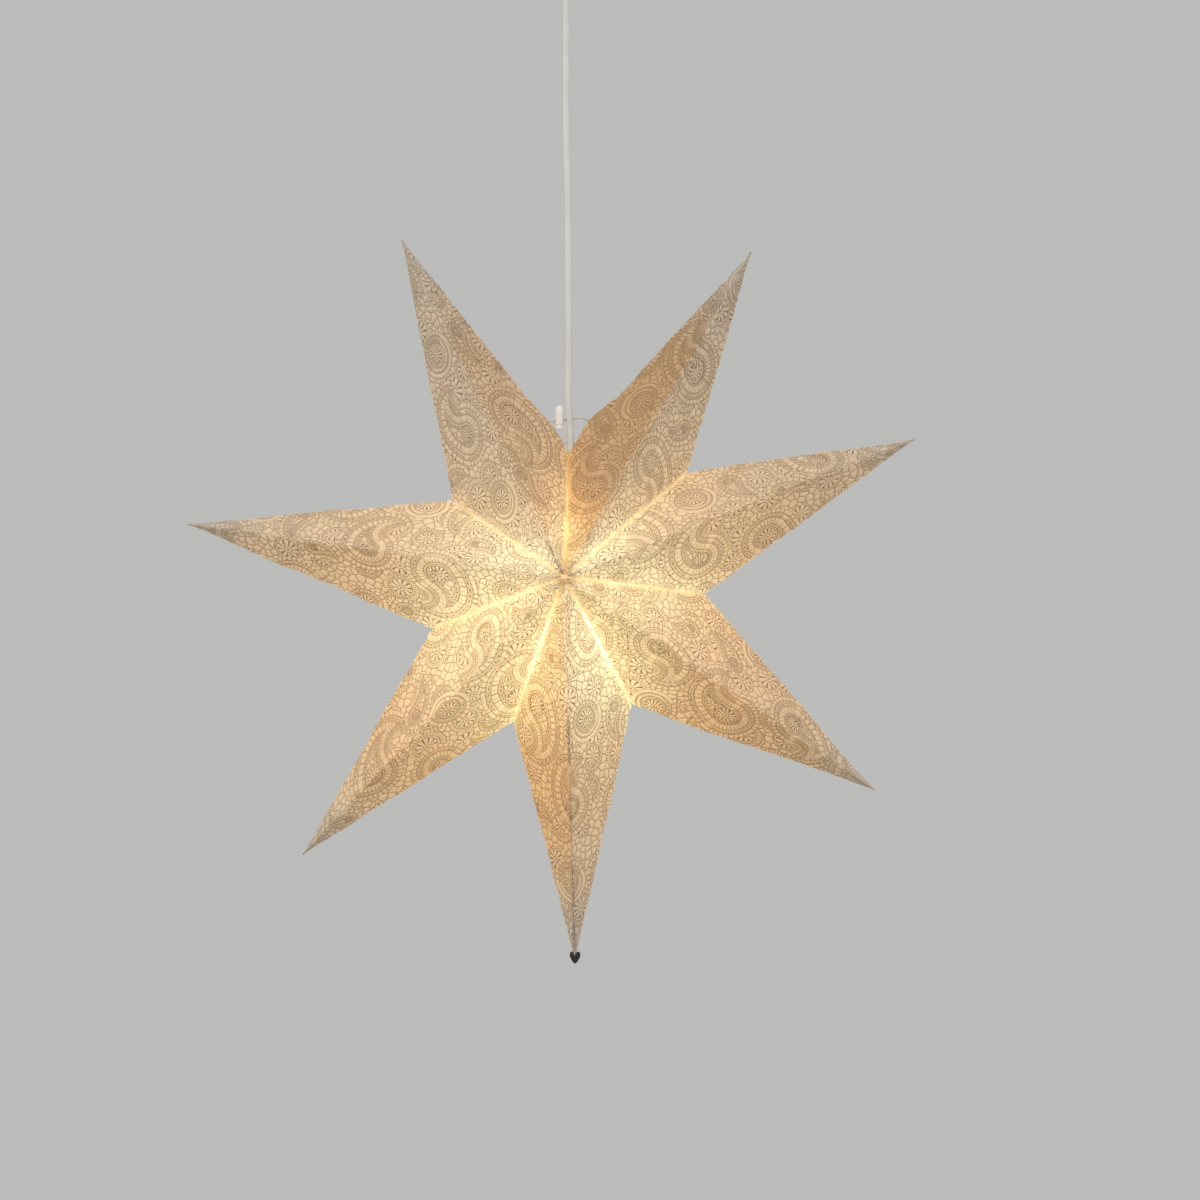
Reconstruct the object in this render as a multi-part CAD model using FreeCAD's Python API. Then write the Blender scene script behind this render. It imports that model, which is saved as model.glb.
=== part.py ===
import FreeCAD, Part
import math
import os
from FreeCAD import Vector

# A folding paper star lantern with seven points, hung on a flat lamp cord from a
# ceiling cup. The origin is the centre of the ceiling face, +Z is up and the star's
# front looks along -Y. All sizes are in millimetres and all angles in degrees,
# counted anticlockwise from +X as the front shows them.

# ---- star ----
star_drop = 542.0           # ceiling face to the star's centre
star_half_depth = 90.0      # centre to the front apex, and to the back apex
paper = 0.6                 # thickness of the paper
flap_width = 9.0            # glue flap inside each fold between two points
seam_gap = 8.4              # width of the open seam at its fold, where the cord goes in
inner_reach = 1.6           # stretch of a point's inside past the star's axis
tips = [                    # each point's tip: angle and distance from the centre
    (115.9, 298.0),
    (60.4, 297.5),
    (21.7, 297.5),
    (-34.5, 296.7),
    (-88.7, 303.0),
    (-133.6, 303.0),
    (-188.1, 303.0),
]
folds = [                   # the fold before each point: angle and distance
    (145.6, 108.9),
    (88.6, 103.0),
    (41.0, 127.5),
    (-6.6, 110.5),
    (-62.5, 112.8),
    (-110.2, 121.0),
    (-159.2, 113.4),
]
open_fold = 1               # index of the fold that is tied, not glued
bottom_point = 4            # index of the point that hangs lowest

# ---- clip on the lowest tip ----
clip_grip = 7.0             # how far the clip reaches up from the paper's tip
clip_nose = 1.6             # how far it reaches past the tip
clip_wall = 1.5
clip_flare = 1.6            # how wide its mouth is cut, against its height

# ---- ties and cord lock ----
tie_diameter = 1.6
tie_room = 0.15             # room round a tie in a hole
tie_gap = 0.3               # between the two ties where they lie side by side
tie_bend = 0.2              # share of the shorter run that a tie's arc takes
eyelet_along = 24.0         # eyelet's distance along the side edge from the open fold
eyelet_in = 14.0            # eyelet's distance in from that edge, on the back face
knot_radius = 2.2
lock_x = -5.2
lock_top = 136.0            # above the star's centre
lock_length = 14.5
lock_diameter = 7.0
lock_wall = 0.8
lock_foot_height = 2.2
lock_foot_diameter = 6.4
lock_press = 1.5            # travel of the plunger
lock_tie_rise = 3.0         # ties' height above the barrel's lower rim
lock_fit = 0.05
plunger_length = 11.0       # from the underside of its foot
spring_wall = 0.5

# ---- cord ----
cord_width = 5.2
cord_thickness = 3.2
cord_start = 24.0           # below the ceiling: where the sheath ends
swing_pivot = 140.0         # below the ceiling: where the cord bends as the star swings
wire_diameter = 1.9
wire_pitch = 2.3
wire_straight = 3.0         # straight run of each wire at both its ends
# (x, distance below the ceiling) of the hanging cord's bends, down to the lampholder
cord_bends = [(1.5, 244.0), (2.1, 372.0), (1.3, 402.0), (3.1, 419.0), (3.8, 437.0)]
cord_bend = 0.45            # share of the shorter run that each arc of the cord takes

# ---- ceiling fitting ----
plate_diameter = 70.0
plate_thickness = 1.5
plate_bore = 12.0
slot_pitch = 50.0
slot_width = 5.0
slot_length = 9.0
cup_diameter = 96.0
cup_depth = 62.0
cup_wall = 1.5
cup_corner = 14.0
cup_seat_gap = 0.3          # between the cup's rim and the ceiling
collar_diameter = 17.0
collar_length = 13.0
collar_thread = 10.0
collar_bore = 6.2
collar_round = 2.0
collar_nut_height = 3.0
collar_nut_diameter = 17.0
thread_fit = 0.2
grub_diameter = 3.0
grub_head_diameter = 6.0
grub_head_length = 4.0
grub_fit = 0.05
grub_stand = 0.5            # between the collar and the screw's head
block_width = 20.0
block_depth = 12.0
block_height = 11.0
terminal_pitch = 8.0
terminal_bore = 2.4
terminal_depth = 6.0
terminal_screw_diameter = 3.0
terminal_screw_depth = 1.0  # how far its head sits below the block's face
strap_width = 20.0
strap_thickness = 1.5
strap_bottom = 40.0         # below the ceiling
strap_room = 0.5            # between the strap and the terminal block
clamp_height = 10.0
clamp_screw_pitch = 13.0
clamp_screw_diameter = 3.0
clamp_screw_head = 5.5
clamp_screw_head_height = 2.2

# ---- lamp ----
lamp_x = 4.0
holder_top = 50.0           # above the star's centre
cap_height = 18.0
holder_height = 58.0
holder_diameter = 28.0
holder_wall = 1.6
holder_step = 2.0           # how much slimmer the cap's spigot is than the skirt
holder_fit = 0.1
spigot_length = 4.0
holder_mouth = 19.0         # bore of the skirt below the core
cap_round = 5.0
core_length = 26.0
core_diameter = 22.0
socket_bore = 15.0
socket_roof = 4.0           # core left above the socket
shell_wall = 0.4
shell_length = 14.0
contact_width = 4.0
contact_thickness = 0.5
contact_margin = 1.0        # from the centre contact's end to the socket's wall
core_terminal_diameter = 3.0
core_floor = 1.0            # core left between its terminals and the socket
grip_length = 10.0          # how far the cord goes into the cap
cap_bore = 7.0
cap_screw_diameter = 3.0
cap_screw_depth = 1.0       # how far its end sits below the cap's side
bulb_diameter = 45.0
bulb_reach = 45.5           # how far the bulb hangs below the holder's rim
bulb_cap_diameter = 13.6
bulb_cap_length = 16.0
bulb_neck_step = 0.7        # how much slimmer the neck is than the screw cap
bulb_shoulder = 9.2         # radius where the neck runs into the globe
bulb_glass = 0.8
bulb_seat = 8.0             # how far the glass goes up into the screw cap
bulb_insulator_height = 3.0
bulb_tip_diameter = 5.0
bulb_tip_height = 1.5
bulb_tip_land = 1.0         # insulator left round the tip
stem_diameter = 5.0
filament_diameter = 1.8
filament_length = 26.0
filament_ring = 6.0
filaments = 4
disc_height = 2.0           # disc that carries the filaments

parts_folder = "parts"


# ---- helpers ----
def along(axis):
    return {"x": Vector(1, 0, 0), "y": Vector(0, 1, 0), "z": Vector(0, 0, 1)}[axis]


def rod(diameter, start, end):
    """A round bar between two points."""
    return Part.makeCylinder(diameter / 2, (end - start).Length, start, end - start)


def upright(diameter, low, high, x=0.0, y=0.0):
    """A round bar along Z."""
    return rod(diameter, Vector(x, y, low), Vector(x, y, high))


def pipe(outer, inner, low, high, x=0.0, y=0.0):
    """A tube along Z."""
    return upright(outer, low, high, x, y).cut(upright(inner, low, high, x, y))


def block(low, high):
    size = high - low
    return Part.makeBox(size.x, size.y, size.z, low)


def polyhedron(faces):
    """A closed solid from plane faces, each a list of corners."""
    skins = [Part.Face(Part.makePolygon(face + face[:1])) for face in faces]
    solid = Part.Solid(Part.Shell(skins))
    if solid.Volume < 0:
        solid.reverse()
    return solid


def rounded_wire(points, share, name=None):
    """Straight runs joined by tangent arcs, which take a share of their shorter run."""
    edges = []
    radii = []
    start = points[0]
    for before, corner, after in zip(points, points[1:], points[2:]):
        back = before - corner
        ahead = after - corner
        turn = math.pi - back.getAngle(ahead)
        cut = share * min(back.Length, ahead.Length)
        radii.append(cut / math.tan(turn / 2))
        arc_start = corner + back.normalize() * cut
        arc_end = corner + ahead.normalize() * cut
        inward = back + ahead
        inward.normalize()
        reach = radii[-1] / math.cos(turn / 2) - radii[-1]
        edges.append(Part.LineSegment(start, arc_start).toShape())
        edges.append(Part.Arc(arc_start, corner + inward * reach, arc_end).toShape())
        start = arc_end
    edges.append(Part.LineSegment(start, points[-1]).toShape())
    wire = Part.Wire(edges)
    if name:
        print(name, "radii", [round(r, 1) for r in radii], "length", round(wire.Length, 1))
    return wire


def swept(wire, section):
    """A solid swept along a wire, its section made at the wire's start."""
    solid = wire.makePipeShell([section], True, False)
    return solid.Solids[0] if solid.Solids else Part.Solid(solid)


def tube(points, diameter, share):
    wire = rounded_wire(points, share)
    circle = Part.Circle(points[0], points[1] - points[0], diameter / 2)
    return swept(wire, Part.Wire(circle.toShape()))


def cord_section(centre):
    """The flat cord's section in a level plane: two half circles joined by flats."""
    half = (cord_width - cord_thickness) / 2
    radius = cord_thickness / 2
    left = centre + Vector(-half, 0, 0)
    right = centre + Vector(half, 0, 0)
    side = Vector(0, radius, 0)
    out = Vector(radius, 0, 0)
    return Part.Wire([
        Part.LineSegment(left - side, right - side).toShape(),
        Part.Arc(right - side, right + out, right + side).toShape(),
        Part.LineSegment(right + side, left + side).toShape(),
        Part.Arc(left + side, left - out, left - side).toShape(),
    ])


def write(name, shape):
    shape.exportStep(os.path.join(parts_folder, name + ".step"))


# ---- the star's points ----
star_centre = Vector(0, 0, -star_drop)
front_apex = star_centre + Vector(0, -star_half_depth, 0)
back_apex = star_centre + Vector(0, star_half_depth, 0)


def in_plane(angle, radius):
    """A point of the star's middle plane."""
    turn = math.radians(angle)
    return star_centre + Vector(radius * math.cos(turn), 0, radius * math.sin(turn))


def fold_corner(index, side):
    """The outer corner of a fold. The open fold has one on each side of its gap."""
    angle, radius = folds[index % len(folds)]
    corner = in_plane(angle, radius)
    if index % len(folds) == open_fold:
        across = in_plane(angle + 90, 1.0) - star_centre
        corner += across * (side * seam_gap / 2)
    return corner


def point_corners(index):
    """Tip, fold on the anticlockwise side, fold on the clockwise side."""
    tip = in_plane(*tips[index])
    return tip, fold_corner(index, -1), fold_corner(index + 1, 1)


def wedge(tip, left, right):
    """The whole space of one point, from its tip to the star's axis."""
    f, b = front_apex, back_apex
    return polyhedron([
        [tip, f, left],
        [tip, right, f],
        [tip, left, b],
        [tip, b, right],
        [f, b, left],
        [f, right, b],
    ])


def inward_normal(tip, side, inside):
    """Unit normal of the front face through the tip and one fold, towards the inside."""
    normal = (front_apex - tip).cross(side - tip)
    normal.normalize()
    return normal if normal.dot(inside - tip) > 0 else normal * -1


def tip_shift(corners, wall):
    """How far the tip moves when all four faces move inwards by the wall."""
    tip, left, right = corners
    a = inward_normal(tip, left, right)
    b = inward_normal(tip, right, left)
    det = a.x * b.z - a.z * b.x
    return Vector(wall * (b.z - a.z) / det, 0, wall * (a.x - b.x) / det)


def offset_wedge(corners, wall, reach):
    """The wedge moved inwards by the wall and stretched from its new tip by the reach."""
    tip, left, right = corners
    new_tip = tip + tip_shift(corners, wall)
    f, b, l, r = [new_tip + (c - tip) * reach for c in (front_apex, back_apex, left, right)]
    return polyhedron([
        [new_tip, f, l],
        [new_tip, r, f],
        [new_tip, l, b],
        [new_tip, b, r],
        [f, b, l],
        [f, r, b],
    ])


def glue_flap(side, other):
    """A flap along both edges of the fold plane, on this point's side of it."""
    level = Vector(0, 1, 0)
    out = side - star_centre
    radius = out.Length
    out.normalize()
    normal = out.cross(level)
    if normal.dot(other - star_centre) < 0:
        normal = normal * -1
    slant = math.hypot(radius, star_half_depth)
    inner_radius = radius - flap_width * slant / star_half_depth
    inner_depth = star_half_depth - flap_width * slant / radius
    outline = [
        front_apex,
        side,
        back_apex,
        star_centre + level * inner_depth,
        star_centre + out * inner_radius,
        star_centre - level * inner_depth,
    ]
    return Part.Face(Part.makePolygon(outline + outline[:1])).extrude(normal * paper)


def eyelet(tip, corner, other):
    """Centre and outward normal of the tie's hole in the back face by the open fold."""
    edge = tip - corner
    edge.normalize()
    on_edge = corner + edge * eyelet_along
    inward = back_apex - on_edge
    inward = inward - edge * inward.dot(edge)
    inward.normalize()
    normal = (tip - back_apex).cross(corner - back_apex)
    normal.normalize()
    if normal.dot(other - corner) > 0:
        normal = normal * -1
    return on_edge + inward * eyelet_in, normal


def paper_point(index):
    corners = point_corners(index)
    tip, left, right = corners
    whole = wedge(*corners)
    sheet = whole.cut(offset_wedge(corners, paper, inner_reach))
    flaps = []
    if index != open_fold:
        flaps.append(glue_flap(left, right))
    if index + 1 != open_fold:
        flaps.append(glue_flap(right, left))
    for flap in flaps:
        sheet = sheet.fuse(flap.common(whole))
    sheet = sheet.removeSplitter()
    hole = tie_diameter + 2 * tie_room
    if index == open_fold:
        spot, normal = eyelet(tip, left, right)
        sheet = sheet.cut(rod(hole, spot - normal * hole, spot + normal * hole))
    if index + 1 == open_fold:
        spot, normal = eyelet(tip, right, left)
        sheet = sheet.cut(rod(hole, spot - normal * hole, spot + normal * hole))
    return sheet.Solids[0]


def make_star():
    for index in range(len(tips)):
        write("paper_point_%d" % (index + 1), paper_point(index))


def make_tip_clip():
    """A pinched cap, face to face with the paper, over the last stretch of the tip."""
    corners = point_corners(bottom_point)
    outer = offset_wedge(corners, -clip_wall, 1.0)
    tip = corners[0]
    away = star_centre - tip
    away.normalize()
    height = clip_grip + clip_nose
    taper = Part.makeCone(clip_wall / 2, height / clip_flare, height, tip - away * clip_nose, away)
    write("tip_clip", outer.common(taper).cut(wedge(*corners)).Solids[0])


# ---- ties and cord lock ----
lock_low = lock_top - lock_length
tie_level = lock_low + lock_tie_rise
tie_y = (tie_diameter + tie_gap) / 2
foot_top = lock_low - lock_press
foot_low = foot_top - lock_foot_height
plunger_diameter = lock_diameter - 2 * lock_wall - 2 * lock_fit


def at_star(x, y, z):
    return star_centre + Vector(x, y, z)


def tie(end_points, spot, normal):
    """A tie from its loose end, through the lock, to its knot behind the eyelet."""
    out = spot + normal * (3 * tie_diameter)
    knot = spot - normal * (paper + knot_radius)
    cord = tube(end_points + [out, knot], tie_diameter, tie_bend)
    return cord.fuse(Part.makeSphere(knot_radius, knot)).removeSplitter().Solids[0]


def make_ties():
    left_side = lock_x - lock_diameter / 2
    right_side = lock_x + lock_diameter / 2
    tip, other, corner = point_corners(open_fold - 1)
    spot, normal = eyelet(tip, corner, other)
    left_tie = [
        at_star(right_side + 0.9, -tie_y - 0.8, 106.0),
        at_star(right_side + 0.7, -tie_y - 0.6, 115.0),
        at_star(right_side + 1.4, -tie_y, tie_level),
        at_star(left_side - 1.6, -tie_y, tie_level),
        at_star(left_side - 5.5, 2.5, tie_level - 0.5),
    ]
    write("tie_left", tie(left_tie, spot, normal))
    tip, corner, other = point_corners(open_fold)
    spot, normal = eyelet(tip, corner, other)
    right_tie = [
        at_star(left_side + 5.9, tie_y + 0.5, 106.0),
        at_star(left_side + 3.0, tie_y + 0.3, 112.5),
        at_star(left_side - 1.2, tie_y, 117.5),
        at_star(left_side - 1.4, tie_y, tie_level),
        at_star(right_side + 1.0, tie_y, tie_level),
        at_star(right_side + 3.2, 3.6, tie_level + 0.4),
        at_star(right_side + 9.0, 3.9, tie_level + 1.3),
        at_star(right_side + 16.0, 5.6, tie_level + 3.0),
    ]
    write("tie_right", tie(right_tie, spot, normal))


def tie_slot(low, high):
    """The space across the lock that the two ties pass through."""
    half = tie_y + tie_diameter / 2 + tie_room
    reach = lock_diameter
    return block(
        at_star(lock_x - reach, -half, low), at_star(lock_x + reach, half, high)
    )


def make_lock():
    inner = lock_diameter - 2 * lock_wall
    low = star_centre.z + lock_low
    high = star_centre.z + lock_top
    dome = lock_diameter / 2 - lock_wall / 2
    body = upright(lock_diameter, low, high, lock_x)
    body = body.makeFillet(dome, [e for e in body.Edges if e.BoundBox.ZMin > high - 0.01])
    body = body.cut(upright(inner, low, high - dome, lock_x))
    half = tie_diameter / 2 + tie_room
    body = body.cut(tie_slot(tie_level - half, tie_level + half))
    write("lock_barrel", body.Solids[0])

    foot = upright(
        lock_foot_diameter, star_centre.z + foot_low, star_centre.z + foot_top, lock_x
    )
    shaft_top = star_centre.z + foot_low + plunger_length
    shaft = upright(plunger_diameter, star_centre.z + foot_low, shaft_top, lock_x)
    plunger = foot.fuse(shaft).removeSplitter()
    plunger = plunger.cut(tie_slot(tie_level - half - lock_press, tie_level + half))
    write("lock_plunger", plunger.Solids[0])

    spring_outer = plunger_diameter - 2 * spring_wall
    spring = pipe(
        spring_outer, spring_outer - 2 * spring_wall, shaft_top, high - dome, lock_x
    )
    write("lock_spring", spring.Solids[0])


# ---- cord ----
cap_top = -star_drop + holder_top
cord_end = cap_top - grip_length


def make_cord():
    clamp_low = -strap_bottom
    grip = cord_section(Vector(0, 0, -cord_start))
    write("cord_end", Part.Face(grip).extrude(Vector(0, 0, clamp_low + cord_start)))
    section = cord_section(Vector(0, 0, clamp_low))
    write("cord_upper", Part.Face(section).extrude(Vector(0, 0, -swing_pivot - clamp_low)))
    route = [Vector(0, 0, -swing_pivot)]
    route += [Vector(x, 0, -down) for x, down in cord_bends]
    route.append(Vector(lamp_x, 0, cord_end))
    wire = rounded_wire(route, cord_bend, "cord_lower")
    solid = swept(wire, cord_section(route[0]))
    area = Part.Face(cord_section(route[0])).Area
    print("cord_lower volume", round(solid.Volume, 1), "of", round(area * wire.Length, 1))
    write("cord_lower", solid)


# ---- ceiling fitting ----
def slot(x):
    half = (slot_length - slot_width) / 2
    ends = [upright(slot_width, -plate_thickness, 0, x + side * half) for side in (-1, 1)]
    middle = block(
        Vector(x - half, -slot_width / 2, -plate_thickness),
        Vector(x + half, slot_width / 2, 0),
    )
    return middle.fuse(ends)


strap_back = cord_thickness / 2 + strap_thickness
block_low = -plate_thickness - block_height
clamp_top = -strap_bottom + clamp_height


def make_plate():
    plate = upright(plate_diameter, -plate_thickness, 0)
    plate = plate.cut(upright(plate_bore, -plate_thickness, 0))
    for side in (-1, 1):
        plate = plate.cut(slot(side * slot_pitch / 2))
    write("ceiling_plate", plate.Solids[0])


def make_strap():
    """A cranked strap from the plate down to the cord clamp, behind the cord."""
    half = strap_width / 2
    shelf_top = block_low - strap_room
    shelf_low = shelf_top - strap_thickness
    back = block_depth / 2 + strap_room
    lower = block(
        Vector(-half, strap_back - strap_thickness, -strap_bottom),
        Vector(half, strap_back, shelf_top),
    )
    shelf = block(
        Vector(-half, strap_back - strap_thickness, shelf_low),
        Vector(half, back + strap_thickness, shelf_top),
    )
    upper = block(
        Vector(-half, back, shelf_low), Vector(half, back + strap_thickness, -plate_thickness)
    )
    strap = lower.fuse([shelf, upper]).removeSplitter()
    bar_front = -cord_thickness / 2 - strap_thickness
    bar = block(
        Vector(-half, bar_front, -strap_bottom), Vector(half, -cord_thickness / 2, clamp_top)
    )
    level = -strap_bottom + clamp_height / 2
    screws = []
    for side in (-1, 1):
        x = side * clamp_screw_pitch / 2
        tip = Vector(x, strap_back + strap_thickness, level)
        face = Vector(x, bar_front, level)
        shank = rod(clamp_screw_diameter, face, tip)
        head = rod(clamp_screw_head, face - along("y") * clamp_screw_head_height, face)
        strap = strap.cut(rod(clamp_screw_diameter, face, tip))
        bar = bar.cut(rod(clamp_screw_diameter, face, tip))
        screws.append(shank.fuse(head).removeSplitter().Solids[0])
    write("hanger_strap", strap.Solids[0])
    write("cord_clamp_bar", bar.Solids[0])
    write("cord_clamp_screws", Part.makeCompound(screws))


def make_terminals():
    half = block_width / 2
    body = block(
        Vector(-half, -block_depth / 2, block_low),
        Vector(half, block_depth / 2, -plate_thickness),
    )
    level = block_low + terminal_depth / 2
    screws = []
    cores = []
    for side in (-1, 1):
        x = side * terminal_pitch / 2
        body = body.cut(upright(terminal_bore, block_low, block_low + terminal_depth, x))
        front = Vector(x, -block_depth / 2, level)
        inner = Vector(x, -terminal_bore / 2, level)
        body = body.cut(rod(terminal_screw_diameter, front, inner))
        head = front + along("y") * terminal_screw_depth
        screws.append(rod(terminal_screw_diameter, head, inner))
        start = side * wire_pitch / 2
        cores.append(tube([
            Vector(start, 0, -cord_start),
            Vector(start, 0, -cord_start + wire_straight),
            Vector(x, 0, block_low - wire_straight),
            Vector(x, 0, block_low + terminal_depth),
        ], wire_diameter, cord_bend))
    write("terminal_block", body.Solids[0])
    write("terminal_screws", Part.makeCompound(screws))
    write("cord_cores", Part.makeCompound(cores))


cup_bottom = -cup_depth
collar_low = cup_bottom - collar_length
grub_level = cup_bottom - collar_length / 2


def make_cup():
    top = -cup_seat_gap
    outer = upright(cup_diameter, cup_bottom, top)
    rim = [e for e in outer.Edges if e.BoundBox.ZMax < cup_bottom + 0.01]
    outer = outer.makeFillet(cup_corner, rim)
    inner = upright(cup_diameter - 2 * cup_wall, cup_bottom + cup_wall, top)
    rim = [e for e in inner.Edges if e.BoundBox.ZMax < cup_bottom + cup_wall + 0.01]
    inner = inner.makeFillet(cup_corner - cup_wall, rim)
    hole = upright(collar_thread + 2 * thread_fit, cup_bottom, cup_bottom + cup_wall)
    write("ceiling_cup", outer.cut(inner).cut(hole).Solids[0])


def make_collar():
    nut_low = cup_bottom + cup_wall
    nut_top = nut_low + collar_nut_height
    collar = upright(collar_diameter, collar_low, cup_bottom)
    low_edge = [e for e in collar.Edges if e.BoundBox.ZMax < collar_low + 0.01]
    collar = collar.makeFillet(collar_round, low_edge)
    collar = collar.fuse(upright(collar_thread, cup_bottom, nut_top)).removeSplitter()
    collar = collar.cut(upright(collar_bore, collar_low, nut_top))
    tip = Vector(cord_width / 2 + grub_fit, 0, grub_level)
    outside = Vector(collar_diameter / 2, 0, grub_level)
    collar = collar.cut(rod(grub_diameter + 2 * grub_fit, Vector(0, 0, grub_level), outside))
    write("cup_collar", collar.Solids[0])
    nut = pipe(collar_nut_diameter, collar_thread, nut_low, nut_top)
    write("collar_nut", nut.Solids[0])
    head_start = outside + along("x") * grub_stand
    head = rod(grub_head_diameter, head_start, head_start + along("x") * grub_head_length)
    screw = rod(grub_diameter, tip, head_start).fuse(head).removeSplitter()
    write("collar_screw", screw.Solids[0])


# ---- lampholder and bulb ----
holder_low = cap_top - holder_height
cap_low = cap_top - cap_height
core_top = cap_low - spigot_length
core_low = core_top - core_length
socket_floor = core_top - socket_roof
bulb_cap_top = socket_floor - contact_thickness - bulb_tip_height
bulb_cap_low = bulb_cap_top - bulb_cap_length
bulb_low = holder_low - bulb_reach
neck_diameter = bulb_cap_diameter - 2 * bulb_neck_step


def make_holder():
    spigot = holder_diameter - 2 * holder_step
    cap = upright(holder_diameter, cap_low, cap_top, lamp_x)
    top_edge = [e for e in cap.Edges if e.BoundBox.ZMin > cap_top - 0.01]
    cap = cap.makeFillet(cap_round, top_edge)
    cap = cap.fuse(upright(spigot, core_top, cap_low, lamp_x)).removeSplitter()
    cap = cap.cut(upright(spigot - 2 * holder_wall, core_top, cord_end, lamp_x))
    cap = cap.cut(upright(cap_bore, cord_end, cap_top, lamp_x))
    level = cap_top - grip_length / 2
    outside = Vector(lamp_x + holder_diameter / 2, 0, level)
    tip = Vector(lamp_x + cord_width / 2, 0, level)
    cap = cap.cut(rod(cap_screw_diameter, Vector(lamp_x, 0, level), outside))
    write("holder_cap", cap.Solids[0])
    write("holder_cord_screw", rod(cap_screw_diameter, tip, outside - along("x") * cap_screw_depth))

    skirt = pipe(holder_diameter, spigot + 2 * holder_fit, core_top, cap_low, lamp_x)
    bore = core_diameter + 2 * holder_fit
    skirt = skirt.fuse(pipe(holder_diameter, bore, core_low, core_top, lamp_x))
    skirt = skirt.fuse(pipe(holder_diameter, holder_mouth, holder_low, core_low, lamp_x))
    write("holder_skirt", skirt.removeSplitter().Solids[0])


def make_holder_core():
    body = upright(core_diameter, core_low, core_top, lamp_x)
    body = body.cut(upright(socket_bore, core_low, socket_floor, lamp_x))
    screws = []
    for side in (-1, 1):
        y = side * core_diameter / 4
        screw = upright(core_terminal_diameter, socket_floor + core_floor, core_top, lamp_x, y)
        body = body.cut(screw)
        screws.append(screw)
    write("holder_core", body.Solids[0])
    write("holder_terminal_screws", Part.makeCompound(screws))
    shell_inner = socket_bore - 2 * shell_wall
    shell = pipe(socket_bore, shell_inner, core_low, core_low + shell_length, lamp_x)
    write("side_contact", shell.Solids[0])
    reach = socket_bore / 2 - contact_margin
    half = contact_width / 2
    tongue = block(
        Vector(lamp_x - reach, -half, socket_floor - contact_thickness),
        Vector(lamp_x + reach, half, socket_floor),
    )
    write("centre_contact", tongue)


def make_bulb():
    """A small globe bulb: glass, stem and filaments below a screw cap."""
    radius = bulb_diameter / 2
    centre = Vector(lamp_x, 0, bulb_low + radius)
    neck_low = centre.z + math.sqrt(radius ** 2 - bulb_shoulder ** 2)
    neck_high = bulb_cap_low
    cone = Part.makeCone(bulb_shoulder, neck_diameter / 2, neck_high - neck_low,
                         Vector(lamp_x, 0, neck_low))
    inside = neck_diameter - 2 * bulb_glass
    insulator_low = bulb_cap_top - bulb_insulator_height
    collar = upright(neck_diameter, neck_high, neck_high + bulb_seat, lamp_x)
    outer = Part.makeSphere(radius, centre).fuse([cone, collar]).removeSplitter()
    inner = Part.makeSphere(radius - bulb_glass, centre)
    bore = upright(inside, centre.z, neck_high + bulb_seat, lamp_x)
    write("bulb_glass", outer.cut(inner.fuse(bore)).Solids[0])

    cap = pipe(bulb_cap_diameter, neck_diameter, bulb_cap_low, insulator_low, lamp_x)
    write("bulb_screw_cap", cap.Solids[0])
    insulator = Part.makeCone(bulb_cap_diameter / 2, bulb_tip_diameter / 2 + bulb_tip_land,
                              bulb_insulator_height, Vector(lamp_x, 0, insulator_low))
    write("bulb_insulator", insulator)
    write("bulb_contact",
          upright(bulb_tip_diameter, bulb_cap_top, bulb_cap_top + bulb_tip_height, lamp_x))

    stem_low = centre.z + filament_length / 2
    stem = upright(stem_diameter, stem_low, insulator_low, lamp_x)
    flare = upright(inside, neck_high, insulator_low, lamp_x)
    disc = upright(filament_ring + 2 * filament_diameter, stem_low, stem_low + disc_height,
                   lamp_x)
    write("bulb_stem", stem.fuse([flare, disc]).removeSplitter().Solids[0])
    rods = []
    for i in range(filaments):
        turn = math.radians(360.0 / filaments * (i + 0.5))
        x = lamp_x + filament_ring / 2 * math.cos(turn)
        y = filament_ring / 2 * math.sin(turn)
        rods.append(upright(filament_diameter, stem_low - filament_length, stem_low, x, y))
    write("bulb_filaments", Part.makeCompound(rods))


os.makedirs(parts_folder, exist_ok=True)
make_star()
make_tip_clip()
make_ties()
make_lock()
make_cord()
make_plate()
make_strap()
make_terminals()
make_cup()
make_collar()
make_holder()
make_holder_core()
make_bulb()
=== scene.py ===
import bpy
import math
import numpy as np
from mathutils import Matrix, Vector


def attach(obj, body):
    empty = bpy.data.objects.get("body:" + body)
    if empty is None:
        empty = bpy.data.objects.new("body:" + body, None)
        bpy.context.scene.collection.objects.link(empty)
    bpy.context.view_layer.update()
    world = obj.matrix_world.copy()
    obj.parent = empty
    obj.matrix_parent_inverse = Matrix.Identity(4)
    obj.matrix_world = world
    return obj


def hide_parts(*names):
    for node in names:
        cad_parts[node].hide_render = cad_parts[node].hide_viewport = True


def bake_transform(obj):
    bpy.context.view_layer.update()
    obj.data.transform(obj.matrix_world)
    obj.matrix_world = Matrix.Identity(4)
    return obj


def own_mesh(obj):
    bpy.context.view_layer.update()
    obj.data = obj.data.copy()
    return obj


# A lit paper star with seven points, folded from lace-patterned paper, on a flat white lamp cord.
# Sizes are in millimetres and become metres where a mesh is made.

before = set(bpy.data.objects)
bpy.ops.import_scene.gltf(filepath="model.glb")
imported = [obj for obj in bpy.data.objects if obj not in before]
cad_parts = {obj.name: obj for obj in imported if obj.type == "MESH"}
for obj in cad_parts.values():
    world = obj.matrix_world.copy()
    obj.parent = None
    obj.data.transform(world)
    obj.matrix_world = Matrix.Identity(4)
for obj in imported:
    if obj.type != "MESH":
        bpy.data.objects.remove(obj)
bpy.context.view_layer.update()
scene = bpy.context.scene
mm = 0.001
print("stage 1: frame loaded,", len(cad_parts), "nodes")

# camera, a little below the star's centre and square to its front
cameraView = {
    "place": (0.0268, -1.8, -0.5594),  # metres
    "lens": 68.4,
}


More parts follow.
